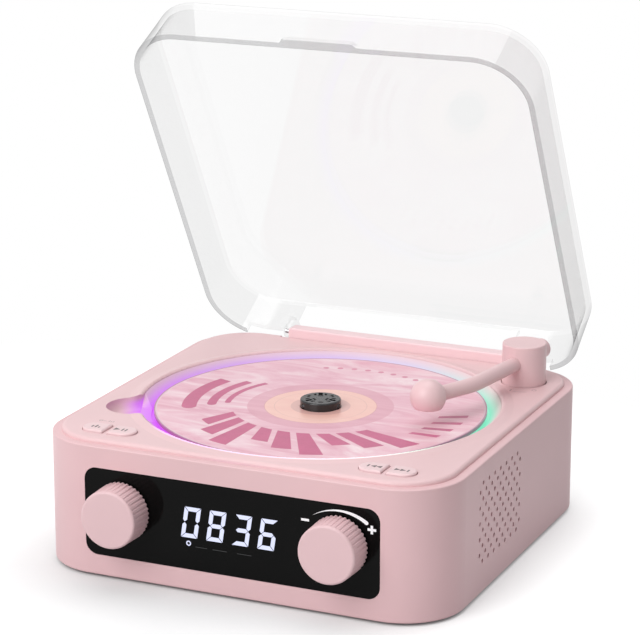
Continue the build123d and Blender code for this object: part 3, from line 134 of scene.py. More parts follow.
tree.links.new(floor_seen.outputs[0], floor_any.inputs[0])
tree.links.new(floor_rays.outputs["Is Glossy Ray"], floor_any.inputs[1])
floor_dark = tree.nodes.new("ShaderNodeEmission")
floor_dark.inputs["Strength"].default_value = 0.0  # no glow for the rays that light the object
floor_pick = tree.nodes.new("ShaderNodeMixShader")
tree.links.new(floor_any.outputs[0], floor_pick.inputs["Fac"])
tree.links.new(floor_dark.outputs[0], floor_pick.inputs[1])
tree.links.new(floor_glow.outputs[0], floor_pick.inputs[2])
floor_sum = tree.nodes.new("ShaderNodeAddShader")
tree.links.new(floor_matt.outputs[0], floor_sum.inputs[0])
tree.links.new(floor_pick.outputs[0], floor_sum.inputs[1])
floor_far = tree.nodes.new("ShaderNodeMapRange")
floor_far.inputs["From Min"].default_value = 0.21
floor_far.inputs["From Max"].default_value = 0.33
tree.links.new(floor_reach.outputs["Value"], floor_far.inputs["Value"])
floor_fade = tree.nodes.new("ShaderNodeMath")
floor_fade.operation = "MULTIPLY"
tree.links.new(floor_far.outputs["Result"], floor_fade.inputs[0])
tree.links.new(floor_any.outputs[0], floor_fade.inputs[1])
floor_white = tree.nodes.new("ShaderNodeEmission")
floor_white.inputs["Strength"].default_value = 1.0
floor_end = tree.nodes.new("ShaderNodeMixShader")
tree.links.new(floor_fade.outputs[0], floor_end.inputs["Fac"])
tree.links.new(floor_sum.outputs[0], floor_end.inputs[1])
tree.links.new(floor_white.outputs[0], floor_end.inputs[2])
tree.links.new(floor_end.outputs[0], floor_out.inputs["Surface"])
floor_mesh.materials.append(floor_paint)


# The lamps: one large soft box at the front left and a wide one overhead, both at a plain
# level. They give the soft shadow to the right and the pale top faces.
def soft_box(name, place, aim, size, power):
    """A square area lamp at a place, in metres, turned to face a point."""
    lamp = bpy.data.lights.new(name, "AREA")
    lamp.shape = "SQUARE"
    lamp.size = size
    lamp.energy = power
    holder = bpy.data.objects.new(name, lamp)
    holder.location = place
    towards = [a - p for a, p in zip(aim, place)]
    length = sqrt(sum(t * t for t in towards))
    tilt = atan2(sqrt(towards[0] ** 2 + towards[1] ** 2), -towards[2])
    turn = atan2(towards[1], towards[0]) - pi / 2
    holder.rotation_euler = (tilt, 0.0, turn)
    bpy.context.scene.collection.objects.link(holder)


soft_box("key_light", (-0.48, -1.48, 1.15), (0.0, 0.0, 0.05), 1.3, 23.5)
soft_box("top_light", (-0.1, 0.4, 1.6), (0.0, 0.0, 0.05), 1.2, 9.0)


# Main housing: moulded pink shell with a fine satin grain, one piece with the grilles.
# The helpers for every plain plastic or metal finish start here.
def rgb(red, green, blue):
    """A colour as it is read off a screen, from 0 to 255, in Blender's linear values."""
    values = []
    for channel in (red, green, blue):
        c = channel / 255
        values.append(c / 12.92 if c <= 0.04045 else ((c + 0.055) / 1.055) ** 2.4)
    return (*values, 1.0)


def moulded(name, colour, rough=0.42, specular=0.4, grain=1500.0, depth=0.00004,
            shade=0.03, metal=0.0, patch=18.0):
    """A plastic or metal finish: slow drift of shade, uneven polish and a fine surface grain."""
    mat = bpy.data.materials.new(name)
    mat.use_nodes = True
    tree = mat.node_tree
    shader = tree.nodes["Principled BSDF"]
    shader.inputs["Metallic"].default_value = metal
    shader.inputs["Specular IOR Level"].default_value = specular
    place = tree.nodes.new("ShaderNodeTexCoord")
    drift = tree.nodes.new("ShaderNodeTexNoise")
    drift.inputs["Scale"].default_value = patch
    drift.inputs["Detail"].default_value = 3.0
    tree.links.new(place.outputs["Object"], drift.inputs["Vector"])
    tone = tree.nodes.new("ShaderNodeValToRGB")
    low, high = 1.0 - shade, 1.0 + shade
    tone.color_ramp.elements[0].position = 0.3
    tone.color_ramp.elements[0].color = tuple(min(1.0, c * low) for c in colour[:3]) + (1.0,)
    tone.color_ramp.elements[1].position = 0.7
    tone.color_ramp.elements[1].color = tuple(min(1.0, c * high) for c in colour[:3]) + (1.0,)
    tree.links.new(drift.outputs["Fac"], tone.inputs["Fac"])
    tree.links.new(tone.outputs["Color"], shader.inputs["Base Color"])
    fine = tree.nodes.new("ShaderNodeTexNoise")
    fine.inputs["Scale"].default_value = grain
    fine.inputs["Detail"].default_value = 2.0
    tree.links.new(place.outputs["Object"], fine.inputs["Vector"])
    polish = tree.nodes.new("ShaderNodeMapRange")
    polish.inputs["To Min"].default_value = rough - 0.05
    polish.inputs["To Max"].default_value = rough + 0.05
    tree.links.new(fine.outputs["Fac"], polish.inputs["Value"])
    tree.links.new(polish.outputs["Result"], shader.inputs["Roughness"])
    bump = tree.nodes.new("ShaderNodeBump")
    bump.inputs["Strength"].default_value = 0.35
    bump.inputs["Distance"].default_value = depth
    tree.links.new(fine.outputs["Fac"], bump.inputs["Height"])
    tree.links.new(bump.outputs["Normal"], shader.inputs["Normal"])
    return mat


def finish(mat, *names):
    """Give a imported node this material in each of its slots."""
    for name in names:
        for slot in nodes[name].material_slots:
            slot.link = "OBJECT"
            slot.material = mat


housing_pink = moulded("housing_pink", rgb(229, 191, 194))
finish(housing_pink, "main_housing")


# Hinge bar: pressed a little smoother than the housing, in a pink painted paler than the
# housing's, a painted highlight for the light it catches from above.
bar_pink_painted_light = moulded("bar_pink_painted_light", rgb(243, 212, 215), rough=0.38)
finish(bar_pink_painted_light, "hinge_bar")


# Front window: one sheet of dark gloss plastic set flush in the housing. It shows almost
# no grain.
window_black = moulded("window_black", rgb(10, 10, 10), rough=0.05, specular=0.08,
                       grain=300.0, depth=0.00001, shade=0.02)
finish(window_black, "display_window")


# Lit digits: clear light pipes moulded flush with the window, lit blue white from behind,
# and the pale block that carries them.
def lit(name, colour, strength, base=(0.6, 0.6, 0.6, 1.0)):
    """A lamp lit plastic: it glows, and keeps a soft gloss of its own."""
    mat = bpy.data.materials.new(name)
    mat.use_nodes = True
    tree = mat.node_tree
    shader = tree.nodes["Principled BSDF"]
    shader.inputs["Roughness"].default_value = 0.35
    shader.inputs["Base Color"].default_value = base
    place = tree.nodes.new("ShaderNodeTexCoord")
    drift = tree.nodes.new("ShaderNodeTexNoise")
    drift.inputs["Scale"].default_value = 400.0
    tree.links.new(place.outputs["Object"], drift.inputs["Vector"])
    tone = tree.nodes.new("ShaderNodeValToRGB")
    tone.color_ramp.elements[0].position = 0.3
    tone.color_ramp.elements[0].color = tuple(c * 0.93 for c in colour[:3]) + (1.0,)
    tone.color_ramp.elements[1].position = 0.7
    tone.color_ramp.elements[1].color = colour
    tree.links.new(drift.outputs["Fac"], tone.inputs["Fac"])
    tree.links.new(tone.outputs["Color"], shader.inputs["Emission Color"])
    shader.inputs["Emission Strength"].default_value = strength
    return mat


digit_glow = lit("digit_glow", rgb(214, 219, 250), 0.85, base=(0.25, 0.26, 0.3, 1.0))
finish(digit_glow, "display_digits")
finish(moulded("digit_block_white", rgb(226, 226, 222), rough=0.5), "digit_block")


# Marks printed on the window: minus, plus and the swelling arc over the right knob, in white ink a
# few hundredths of a millimetre thick. The ink is given a faint painted glow.
MM = 0.001  # millimetres to metres
front_y = -75.0


def outline_piece(name, outlines, to_world, thick, mat, body):
    """Thin closed piece from flat outlines in millimetres, placed by to_world(u, v, height)."""
    mesh = bpy.data.meshes.new(name)
    shape = bmesh.new()
    for outline in outlines:
        low = [shape.verts.new(to_world(u, v, 0.0)) for u, v in outline]
        high = [shape.verts.new(to_world(u, v, thick)) for u, v in outline]
        shape.faces.new(low)
        shape.faces.new(high)
        for i in range(len(outline)):
            j = (i + 1) % len(outline)
            shape.faces.new((low[i], low[j], high[j], high[i]))
    bmesh.ops.recalc_face_normals(shape, faces=shape.faces)
    shape.to_mesh(mesh)
    shape.free()
    mesh.materials.append(mat)
    piece = bpy.data.objects.new(name, mesh)
    bpy.context.scene.collection.objects.link(piece)
    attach(piece, body)
    return piece


def on_window(u, v, height):
    """A point on the front face, in millimetres across and up."""
    return (u * MM, (front_y - height) * MM, v * MM)


def bar_outline(x, y, width, height, lean=0.0):
    """A small rectangle, leaning over by so much across its height."""
    return [(x - width / 2 - lean / 2, y - height / 2), (x + width / 2 - lean / 2, y - height / 2),
            (x + width / 2 + lean / 2, y + height / 2), (x - width / 2 + lean / 2, y + height / 2)]


def arc_band(x, y, radius, start, end, thick_from, thick_to, steps=28):
    """A band along an arc, in degrees, that swells evenly and ends round."""
    outer, inner = [], []
    for i in range(steps + 1):
        t = i / steps
        a = radians(start + (end - start) * t)
        half = (thick_from + (thick_to - thick_from) * t) / 2
        outer.append((x + (radius + half) * cos(a), y + (radius + half) * sin(a)))
        inner.append((x + (radius - half) * cos(a), y + (radius - half) * sin(a)))
    a = radians(end)
    centre = (x + radius * cos(a), y + radius * sin(a))
    way = -1.0 if end < start else 1.0
    cap = []
    for i in range(1, 8):
        b = a + way * pi * i / 8
        cap.append((centre[0] + thick_to / 2 * cos(b), centre[1] + thick_to / 2 * sin(b)))
    return outer + cap + inner[::-1]


window_ink = moulded("window_ink_white", rgb(236, 236, 238), rough=0.5, shade=0.01)
ink_painted_glow_shader = window_ink.node_tree.nodes["Principled BSDF"]
# A faint painted glow on the ink, which makes it brighter than the lamps alone would.
ink_painted_glow_shader.inputs["Emission Color"].default_value = (1.0, 1.0, 1.0, 1.0)
ink_painted_glow_shader.inputs["Emission Strength"].default_value = 0.15
arc_mid_x, arc_mid_z, arc_r = 40.8, 20.4, 17.8
volume_marks = outline_piece("volume_marks", [
    bar_outline(28.25, 33.2, 2.9, 0.85),
    bar_outline(52.4, 33.2, 0.9, 3.0),
    bar_outline(51.4, 33.2, 1.1, 0.9),
    bar_outline(53.4, 33.2, 1.1, 0.9),
    arc_band(arc_mid_x, arc_mid_z, arc_r, 122.5, 57.0, 0.05, 1.35),
], on_window, 0.03, window_ink, "body")

# Small lit ring under the digits, and three unlit dashes beside it
ring_x, ring_z, status_r, status_line = -15.4, 18.15, 0.72, 0.42
status_ring = outline_piece("status_ring", [
    arc_band(ring_x, ring_z, status_r, 90, 269, status_line, status_line),
    arc_band(ring_x, ring_z, status_r, 270, 449, status_line, status_line),
], on_window, 0.02, digit_glow, "body")
unlit_ink = moulded("unlit_dash_grey", rgb(58, 58, 60), rough=0.3, shade=0.02)
dash_z, dash_line = 17.2, 0.18
unlit_dashes = outline_piece("unlit_dashes", [
    bar_outline(-10.6, dash_z, 4.4, dash_line), bar_outline(-3.6, dash_z, 5.4, dash_line),
    bar_outline(5.6, dash_z, 5.4, dash_line),
], on_window, 0.01, unlit_ink, "body")


# Knobs: fluted caps in the housing's pink, each on a dark shaft with its encoder behind
# the window.
knob_pink = moulded("knob_pink", rgb(229, 194, 197), rough=0.40)
finish(knob_pink, "left_knob", "right_knob")
shaft_black = moulded("shaft_black", rgb(30, 30, 31), rough=0.5)
finish(shaft_black, "left_knob_shaft", "right_knob_shaft", "left_encoder", "right_encoder")


# Deck buttons: four satin caps with their signs printed in soft grey, and a faint row of
# plain marks on the deck behind the left pair.
button_pink = moulded("button_pink", rgb(236, 206, 208), rough=0.36)
finish(button_pink, "mode_button", "play_button", "previous_button", "next_button")
sign_grey = moulded("sign_grey", rgb(112, 102, 102), rough=0.5, shade=0.02)
button_top, deck_top = 50.55, 49.65


def on_button(u, v, height):
    """A point on the buttons' tops, in millimetres right and back."""
    return (u * MM, v * MM, (button_top + height) * MM)


def on_deck(u, v, height):
    """A point on the deck, in millimetres right and back."""
    return (u * MM, v * MM, (deck_top + height) * MM)


def arrow(x, y, size, way):
    """A filled arrow head, pointing right for 1 and left for -1."""
    return [(x - way * size * 0.45, y - size / 2), (x + way * size * 0.45, y),
            (x - way * size * 0.45, y + size / 2)]


sign_y = -61.6
mode_sign = outline_piece("mode_sign", [
    bar_outline(-58.9, sign_y - 0.4, 0.62, 1.7), bar_outline(-57.6, sign_y, 0.62, 2.5),
    bar_outline(-56.3, sign_y - 0.7, 0.62, 1.1),
], on_button, 0.03, sign_grey, "mode_button")
play_sign = outline_piece("play_sign", [
    arrow(-49.4, sign_y, 2.4, 1), bar_outline(-47.3, sign_y, 0.58, 2.3),
    bar_outline(-46.0, sign_y, 0.58, 2.3),
], on_button, 0.03, sign_grey, "play_button")
previous_sign = outline_piece("previous_sign", [
    bar_outline(45.4, sign_y, 0.55, 2.1), arrow(47.2, sign_y, 2.1, -1),
    arrow(49.2, sign_y, 2.1, -1),
], on_button, 0.03, sign_grey, "previous_button")
next_sign = outline_piece("next_sign", [
    arrow(55.9, sign_y, 2.1, 1), arrow(57.9, sign_y, 2.1, 1),
    bar_outline(59.7, sign_y, 0.55, 2.1),
], on_button, 0.03, sign_grey, "next_button")
faint_grey = moulded("faint_grey", rgb(176, 155, 156), rough=0.5, shade=0.02)
marks_y, fine_line = -52.8, 0.22
deck_marks = outline_piece("deck_marks", [
    arc_band(-60.6, marks_y, 0.6, 60, 239, fine_line, fine_line),
    arc_band(-60.6, marks_y, 0.6, 240, 419, fine_line, fine_line),
    bar_outline(-59.0, marks_y, 1.2, fine_line),
    bar_outline(-57.4, -52.6, 0.3, 1.3), bar_outline(-56.6, marks_y, 0.3, 0.9),
    bar_outline(-55.8, -52.6, 0.3, 1.3),
], on_deck, 0.02, faint_grey, "body")


# Light ring: frosted plastic round the bay, lit in colours that change along the ring. It is
# brightest low down by the disc, and at its two ends by the thumb scoop.
bay_x, bay_y = 0.0008, -0.0009


def spread(tree, vector_socket):
    """Radius, turn (0 to 1 from -X round by -Y) and place about the bay's centre."""
    shift = tree.nodes.new("ShaderNodeMapping")
    shift.inputs["Location"].default_value = (-bay_x, -bay_y, 0.0)
    tree.links.new(vector_socket, shift.inputs["Vector"])
    parts = tree.nodes.new("ShaderNodeSeparateXYZ")
    tree.links.new(shift.outputs["Vector"], parts.inputs["Vector"])
    flat = tree.nodes.new("ShaderNodeCombineXYZ")
    tree.links.new(parts.outputs["X"], flat.inputs["X"])
    tree.links.new(parts.outputs["Y"], flat.inputs["Y"])
    radius = tree.nodes.new("ShaderNodeVectorMath")
    radius.operation = "LENGTH"
    tree.links.new(flat.outputs["Vector"], radius.inputs[0])
    turn = tree.nodes.new("ShaderNodeMath")
    turn.operation = "ARCTAN2"
    tree.links.new(parts.outputs["Y"], turn.inputs[0])
    tree.links.new(parts.outputs["X"], turn.inputs[1])
    part = tree.nodes.new("ShaderNodeMapRange")
    part.inputs["From Min"].default_value = -pi
    part.inputs["From Max"].default_value = pi
    tree.links.new(turn.outputs[0], part.inputs["Value"])
    return radius.outputs["Value"], part.outputs["Result"], shift.outputs["Vector"]


def wheel(tree, socket, stops):
    """A colour ramp over the turn, from stops of (degrees from +X, colour)."""
    ramp = tree.nodes.new("ShaderNodeValToRGB")
    ramp.color_ramp.interpolation = "EASE"
    placed = sorted(((((degrees + 180.0) % 360.0) / 360.0), colour) for degrees, colour in stops)
    marks = ramp.color_ramp.elements
    marks[0].position, marks[0].color = placed[0]
    marks[1].position, marks[1].color = placed[-1]
    for position, colour in placed[1:-1]:
        mark = marks.new(position)
        mark.color = colour
    tree.links.new(socket, ramp.inputs["Fac"])
    return ramp.outputs["Color"]


ring_stops = [
    (181, rgb(208, 104, 250)), (205, rgb(206, 76, 246)), (228, rgb(212, 84, 246)),
    (250, rgb(216, 160, 250)), (275, rgb(222, 206, 252)), (300, rgb(232, 238, 252)),
    (330, rgb(120, 226, 190)), (350, rgb(112, 232, 186)), (12, rgb(120, 236, 192)),
    (35, rgb(150, 238, 204)), (58, rgb(196, 230, 226)), (85, rgb(204, 208, 246)),
    (115, rgb(196, 172, 248)), (145, rgb(196, 132, 248)), (179, rgb(206, 106, 250)),
]


def step_between(tree, socket, start, end, low=0.0, high=1.0):
    """A smooth step from low to high as a value goes from start to end."""
    fade = tree.nodes.new("ShaderNodeMapRange")
    fade.interpolation_type = "SMOOTHSTEP"
    fade.inputs["From Min"].default_value = start
    fade.inputs["From Max"].default_value = end
    fade.inputs["To Min"].default_value = low
    fade.inputs["To Max"].default_value = high
    tree.links.new(socket, fade.inputs["Value"])
    return fade.outputs["Result"]


def blend_colours(tree, factor, first, second):
    """Blend two colours or colour sockets by a factor socket."""
    mix = tree.nodes.new("ShaderNodeMix")
    mix.data_type = "RGBA"
    tree.links.new(factor, mix.inputs["Factor"])
    for socket, value in ((mix.inputs["A"], first), (mix.inputs["B"], second)):
        if isinstance(value, tuple):
            socket.default_value = value
        else:
            tree.links.new(value, socket)
    return mix.outputs["Result"]


def product(tree, first, second):
    """One value socket times another, or times a number."""
    times = tree.nodes.new("ShaderNodeMath")
    times.operation = "MULTIPLY"
    tree.links.new(first, times.inputs[0])
    if isinstance(second, float):
        times.inputs[1].default_value = second
    else:
        tree.links.new(second, times.inputs[1])
    return times.outputs[0]


ring_glow = bpy.data.materials.new("ring_glow")
ring_glow.use_nodes = True
tree = ring_glow.node_tree
ring_shader = tree.nodes["Principled BSDF"]
ring_shader.inputs["Roughness"].default_value = 0.5
ring_place = tree.nodes.new("ShaderNodeTexCoord")
ring_radius, ring_turn, _ = spread(tree, ring_place.outputs["Object"])
ring_colour = wheel(tree, ring_turn, ring_stops)
from_scoop = tree.nodes.new("ShaderNodeVectorMath")
from_scoop.operation = "DISTANCE"
scoop_mouth = (-0.0560, -0.0312, 0.0470)
from_scoop.inputs[1].default_value = scoop_mouth
tree.links.new(ring_place.outputs["Object"], from_scoop.inputs[0])
ring_low, ring_top = 0.0606, 0.0654
ring_pale = product(tree, step_between(tree, ring_radius, ring_low, ring_top),
                    step_between(tree, from_scoop.outputs["Value"], 0.0070, 0.0135, 0.30, 1.0))
tree.links.new(blend_colours(tree, ring_pale, (0.16, 0.13, 0.18, 1.0), rgb(226, 196, 200)),
               ring_shader.inputs["Base Color"])
tree.links.new(ring_colour, ring_shader.inputs["Emission Color"])
ring_power = tree.nodes.new("ShaderNodeMath")
ring_power.operation = "MULTIPLY_ADD"
glow_full, glow_pale = 0.84, 0.10
ring_power.inputs[1].default_value = glow_pale - glow_full
ring_power.inputs[2].default_value = glow_full
tree.links.new(ring_pale, ring_power.inputs[0])
tree.links.new(ring_power.outputs[0], ring_shader.inputs["Emission Strength"])
finish(ring_glow, "light_ring")


# Top deck: the body's pink, with a painted glow in the ring's colours down the bay wall and into
# the scoop, where the base colour is painted dark, and a painted highlight in those colours along
# the rounded inner edge of the front rim.
deck_pink = moulded("deck_pink", rgb(233, 198, 200), rough=0.38)
tree = deck_pink.node_tree
deck_shader = tree.nodes["Principled BSDF"]
deck_place = tree.nodes["Texture Coordinate"]
deck_radius, deck_turn, _ = spread(tree, deck_place.outputs["Object"])
deck_height = tree.nodes.new("ShaderNodeSeparateXYZ")
tree.links.new(deck_place.outputs["Object"], deck_height.inputs["Vector"])
deck_edge_z, scoop_floor_z = 0.0494, 0.0470
# Painted glow: deep in the bay and near the ring, the deck takes the ring's colours as emission.
deep = step_between(tree, deck_height.outputs["Z"], deck_edge_z, scoop_floor_z)
near = step_between(tree, deck_radius, 0.0735, 0.0640)
painted_bay_glow = product(tree, deep, near)
front_part = product(tree, step_between(tree, deck_turn, 0.130, 0.165),
                     step_between(tree, deck_turn, 0.435, 0.400))
# Painted highlight in the ring's colours along the crest of the rim at the front.
crest = product(tree, step_between(tree, deck_radius, 0.0669, 0.0660),
                step_between(tree, deck_height.outputs["Z"], 0.0488, 0.0497))
painted_rim_highlight = product(tree, product(tree, crest, front_part), 0.90)
both = tree.nodes.new("ShaderNodeMath")
both.operation = "MAXIMUM"
tree.links.new(painted_bay_glow, both.inputs[0])
tree.links.new(painted_rim_highlight, both.inputs[1])
tree.links.new(wheel(tree, deck_turn, ring_stops), deck_shader.inputs["Emission Color"])
tree.links.new(product(tree, both.outputs[0], glow_full),
               deck_shader.inputs["Emission Strength"])
# Where the painted glow is strongest, the base colour is painted dark.
deck_base = deck_shader.inputs["Base Color"].links[0].from_socket
tree.links.new(blend_colours(tree, painted_bay_glow, deck_base, (0.16, 0.12, 0.17, 1.0)),
               deck_shader.inputs["Base Color"])
finish(deck_pink, "top_deck")
finish(moulded("lamp_board_white", rgb(232, 232, 230), rough=0.45), "led_ring_board")


# Disc: lacquered print over clear plastic, a marbled pink field with a peach centre, a halo
# round it and a darker line at the cut edge.
disc_print = bpy.data.materials.new("disc_print")
disc_print.use_nodes = True
tree = disc_print.node_tree
disc_shader = tree.nodes["Principled BSDF"]
disc_shader.inputs["Roughness"].default_value = 0.30
disc_shader.inputs["Specular IOR Level"].default_value = 0.45
disc_shader.inputs["Coat Weight"].default_value = 0.25
disc_shader.inputs["Coat Roughness"].default_value = 0.12
disc_place = tree.nodes.new("ShaderNodeTexCoord")
disc_radius, _, disc_vector = spread(tree, disc_place.outputs["Object"])
stretch = tree.nodes.new("ShaderNodeMapping")
stretch.inputs["Rotation"].default_value = (0.0, 0.0, 0.35)
stretch.inputs["Scale"].default_value = (14.0, 46.0, 1.0)
tree.links.new(disc_vector, stretch.inputs["Vector"])
cloud = tree.nodes.new("ShaderNodeTexNoise")
cloud.inputs["Scale"].default_value = 1.6
cloud.inputs["Detail"].default_value = 7.0
cloud.inputs["Roughness"].default_value = 0.62
cloud.inputs["Distortion"].default_value = 1.4
tree.links.new(stretch.outputs["Vector"], cloud.inputs["Vector"])
field = tree.nodes.new("ShaderNodeValToRGB")
marks = field.color_ramp.elements
marks[0].position, marks[0].color = 0.30, rgb(222, 150, 172)
marks[1].position, marks[1].color = 0.72, rgb(250, 226, 230)
mark = marks.new(0.48)
mark.color = rgb(236, 184, 198)
tree.links.new(cloud.outputs["Fac"], field.inputs["Fac"])


def ring_step(tree, radius_socket, edge, below, above):
    """Swap from one colour to another at a radius on the disc, with a crisp edge."""
    test = tree.nodes.new("ShaderNodeMapRange")
    test.inputs["From Min"].default_value = edge - 0.00008
    test.inputs["From Max"].default_value = edge + 0.00008
    tree.links.new(radius_socket, test.inputs["Value"])
    mix = tree.nodes.new("ShaderNodeMix")
    mix.data_type = "RGBA"
    tree.links.new(test.outputs["Result"], mix.inputs["Factor"])
    for socket, value in ((mix.inputs["A"], below), (mix.inputs["B"], above)):
        if isinstance(value, tuple):
            socket.default_value = value
        else:
            tree.links.new(value, socket)
    return mix.outputs["Result"]


label_cloud = tree.nodes.new("ShaderNodeValToRGB")
label_cloud.color_ramp.elements[0].position = 0.3
label_cloud.color_ramp.elements[0].color = rgb(244, 188, 177)
label_cloud.color_ramp.elements[1].position = 0.7
label_cloud.color_ramp.elements[1].color = rgb(250, 202, 188)
tree.links.new(cloud.outputs["Fac"], label_cloud.inputs["Fac"])
halo_cloud = tree.nodes.new("ShaderNodeValToRGB")
halo_cloud.color_ramp.elements[0].position = 0.3
halo_cloud.color_ramp.elements[0].color = rgb(218, 148, 168)
halo_cloud.color_ramp.elements[1].position = 0.7
halo_cloud.color_ramp.elements[1].color = rgb(234, 178, 192)
tree.links.new(cloud.outputs["Fac"], halo_cloud.inputs["Fac"])
colour = ring_step(tree, disc_radius, 0.0108, rgb(226, 176, 168), label_cloud.outputs["Color"])
for edge, value in ((0.0166, rgb(226, 178, 168)), (0.0168, label_cloud.outputs["Color"]),
                    (0.0202, rgb(214, 150, 156)), (0.0204, halo_cloud.outputs["Color"]),
                    (0.0265, field.outputs["Color"]), (0.0589, rgb(228, 190, 202)),
                    (0.0595, rgb(182, 122, 152))):
    colour = ring_step(tree, disc_radius, edge, colour, value)
tree.links.new(colour, disc_shader.inputs["Base Color"])
finish(disc_print, "compact_disc")

# Motifs on the disc: a fan of blades, nested arcs, and a row of dots, in magenta ink
print_magenta = moulded("print_magenta", rgb(198, 92, 132), rough=0.34, shade=0.05,
                        patch=160.0)
print_rose = moulded("print_rose", rgb(214, 132, 158), rough=0.34, shade=0.05, patch=160.0)


disc_top = 47.85


def on_disc(u, v, height):
    """A point on the disc, in millimetres right and back of its centre."""
    return (u * MM + bay_x, v * MM + bay_y, (disc_top + height) * MM)


def blade(r_in, r_out, start, end, twist=0.0):
    """A flat blade between two radii, its outer end turned on by a few degrees."""
    points = []
    for r, a, b in ((r_in, start, end), (r_out, end + twist, start + twist)):
        for i in range(7):
            t = radians(a + (b - a) * i / 6)
            points.append((r * cos(t), r * sin(t)))
    return points


fan = [blade(32.0, 45.0 + 5.0 * (i % 3), 216 + 12.5 * i, 224.5 + 12.5 * i, 8.0)
       for i in range(9)]
arcs = [arc_band(0, 0, r, a, b, w, w) for r, a, b, w in
        ((34.0, 150, 196, 2.2), (39.5, 156, 200, 3.4), (47.5, 162, 204, 5.4))]
sails = [blade(44.0, 54.0, 338 + 9 * i, 341 + 9 * i, 4.0) for i in range(4)]
ink_thick = 0.012
disc_motifs = outline_piece("disc_motifs", fan + arcs + sails, on_disc, ink_thick,
                            print_magenta, "disc")
row_r, dot_r = 47.5, 1.15
dots = [[(row_r * cos(radians(66 + 6.5 * i)) + dot_r * cos(b * pi / 8),
          row_r * sin(radians(66 + 6.5 * i)) + dot_r * sin(b * pi / 8))
         for b in range(16)] for i in range(8)]
disc_dots = outline_piece("disc_dots", dots, on_disc, ink_thick, print_rose, "disc")


# Spindle: black gloss hub with its steel catch balls, on a rubber pad and a steel shaft.
# The other bare steel and the rubber pieces share these finishes.
hub_black = moulded("hub_black", rgb(28, 28, 29), rough=0.22, specular=0.5, shade=0.05)
finish(hub_black, "spindle_hub")
bright_steel = moulded("bright_steel", rgb(196, 196, 198), rough=0.28, metal=1.0, shade=0.06)
dark_steel = moulded("dark_steel", rgb(70, 70, 72), rough=0.30, metal=1.0, shade=0.05)
finish(dark_steel, "hub_balls")
finish(bright_steel, "motor_shaft", "hinge_pins", "guide_rods", "tonearm_shaft")
rubber = moulded("rubber", rgb(30, 30, 31), rough=0.75, specular=0.25, grain=900.0,
                 depth=0.00008)
finish(rubber, "disc_pad", "rubber_feet", "mech_dampers")


# Tonearm: post, tube, ball and rear weight in the deck's pink, a shade glossier, with a
# faint arc, bar and ring on the deck in front of the post.
arm_pink = moulded("arm_pink", rgb(234, 199, 201), rough=0.34, specular=0.45)
finish(arm_pink, "tonearm_post", "tonearm_tube", "tonearm_head", "tonearm_weight")
arm_marks = outline_piece("arm_marks", [
    bar_outline(58.7, 39.6, 0.35, 2.0),
    arc_band(59.4, 51.9, 13.4, 272, 294, 0.18, 0.18),
    arc_band(66.6, 42.9, 0.8, 0, 179, 0.24, 0.24),
    arc_band(66.6, 42.9, 0.8, 180, 359, 0.24, 0.24),
], on_deck, 0.02, faint_grey, "body")


# Clear cover: polished acrylic shell, two millimetres thick, with its hinge ears. Each
# surface passes light with a grey that deepens at a slant and along the cut rim.
clear = bpy.data.materials.new("clear_acrylic")
clear.use_nodes = True
tree = clear.node_tree
tree.nodes.clear()
clear_out = tree.nodes.new("ShaderNodeOutputMaterial")
clear_slant = tree.nodes.new("ShaderNodeLayerWeight")
clear_slant.inputs["Blend"].default_value = 0.5
clear_tint = tree.nodes.new("ShaderNodeValToRGB")
tint_marks = clear_tint.color_ramp.elements
tint_marks[0].position, tint_marks[0].color = 0.33, (0.975, 0.975, 0.975, 1.0)
tint_marks[1].position, tint_marks[1].color = 1.0, (0.50, 0.50, 0.51, 1.0)
for place, grey in ((0.40, 0.975), (0.61, 0.965), (0.70, 0.94), (0.87, 0.74)):
    tint_mark = tint_marks.new(place)
    tint_mark.color = (grey, grey, grey, 1.0)
tree.links.new(clear_slant.outputs["Facing"], clear_tint.inputs["Fac"])
clear_place = tree.nodes.new("ShaderNodeTexCoord")
cover_up = tree.nodes.new("ShaderNodeVectorMath")
cover_up.operation = "DOT_PRODUCT"
open_turn = radians(60.5)
cover_up.inputs[1].default_value = (0.0, sin(open_turn), cos(open_turn))
tree.links.new(clear_place.outputs["Object"], cover_up.inputs[0])
hinge_y, hinge_z, closed_rim_z, wall_top = 0.0733, 0.0510, 0.04834, 0.0180
rim_up = hinge_y * sin(open_turn) + hinge_z * cos(open_turn) + closed_rim_z - hinge_z
clear_rim = step_between(tree, cover_up.outputs["Value"], rim_up + 0.00035, rim_up + 0.00015)
clear_wall = step_between(tree, cover_up.outputs["Value"], rim_up + wall_top + 0.0006,
                          rim_up + wall_top)
wall_scale = tree.nodes.new("ShaderNodeMath")
wall_scale.operation = "MULTIPLY_ADD"
wall_scale.inputs[1].default_value = -0.035
wall_scale.inputs[2].default_value = 1.0
tree.links.new(clear_wall, wall_scale.inputs[0])
wall_tint = tree.nodes.new("ShaderNodeVectorMath")
wall_tint.operation = "SCALE"
tree.links.new(clear_tint.outputs["Color"], wall_tint.inputs[0])
tree.links.new(wall_scale.outputs[0], wall_tint.inputs["Scale"])
clear_colour = blend_colours(tree, clear_rim, wall_tint.outputs["Vector"],
                             (0.68, 0.68, 0.685, 1.0))
clear_pass = tree.nodes.new("ShaderNodeBsdfTransparent")
tree.links.new(clear_colour, clear_pass.inputs["Color"])
clear_gloss = tree.nodes.new("ShaderNodeBsdfGlossy")
clear_gloss.inputs["Color"].default_value = (0.96, 0.96, 0.96, 1.0)
clear_gloss.inputs["Roughness"].default_value = 0.0
clear_power = tree.nodes.new("ShaderNodeMath")
clear_power.operation = "POWER"
clear_power.inputs[1].default_value = 5.0
tree.links.new(clear_slant.outputs["Facing"], clear_power.inputs[0])
clear_mirror = tree.nodes.new("ShaderNodeMath")
clear_mirror.operation = "MULTIPLY_ADD"
clear_mirror.inputs[1].default_value = 0.28
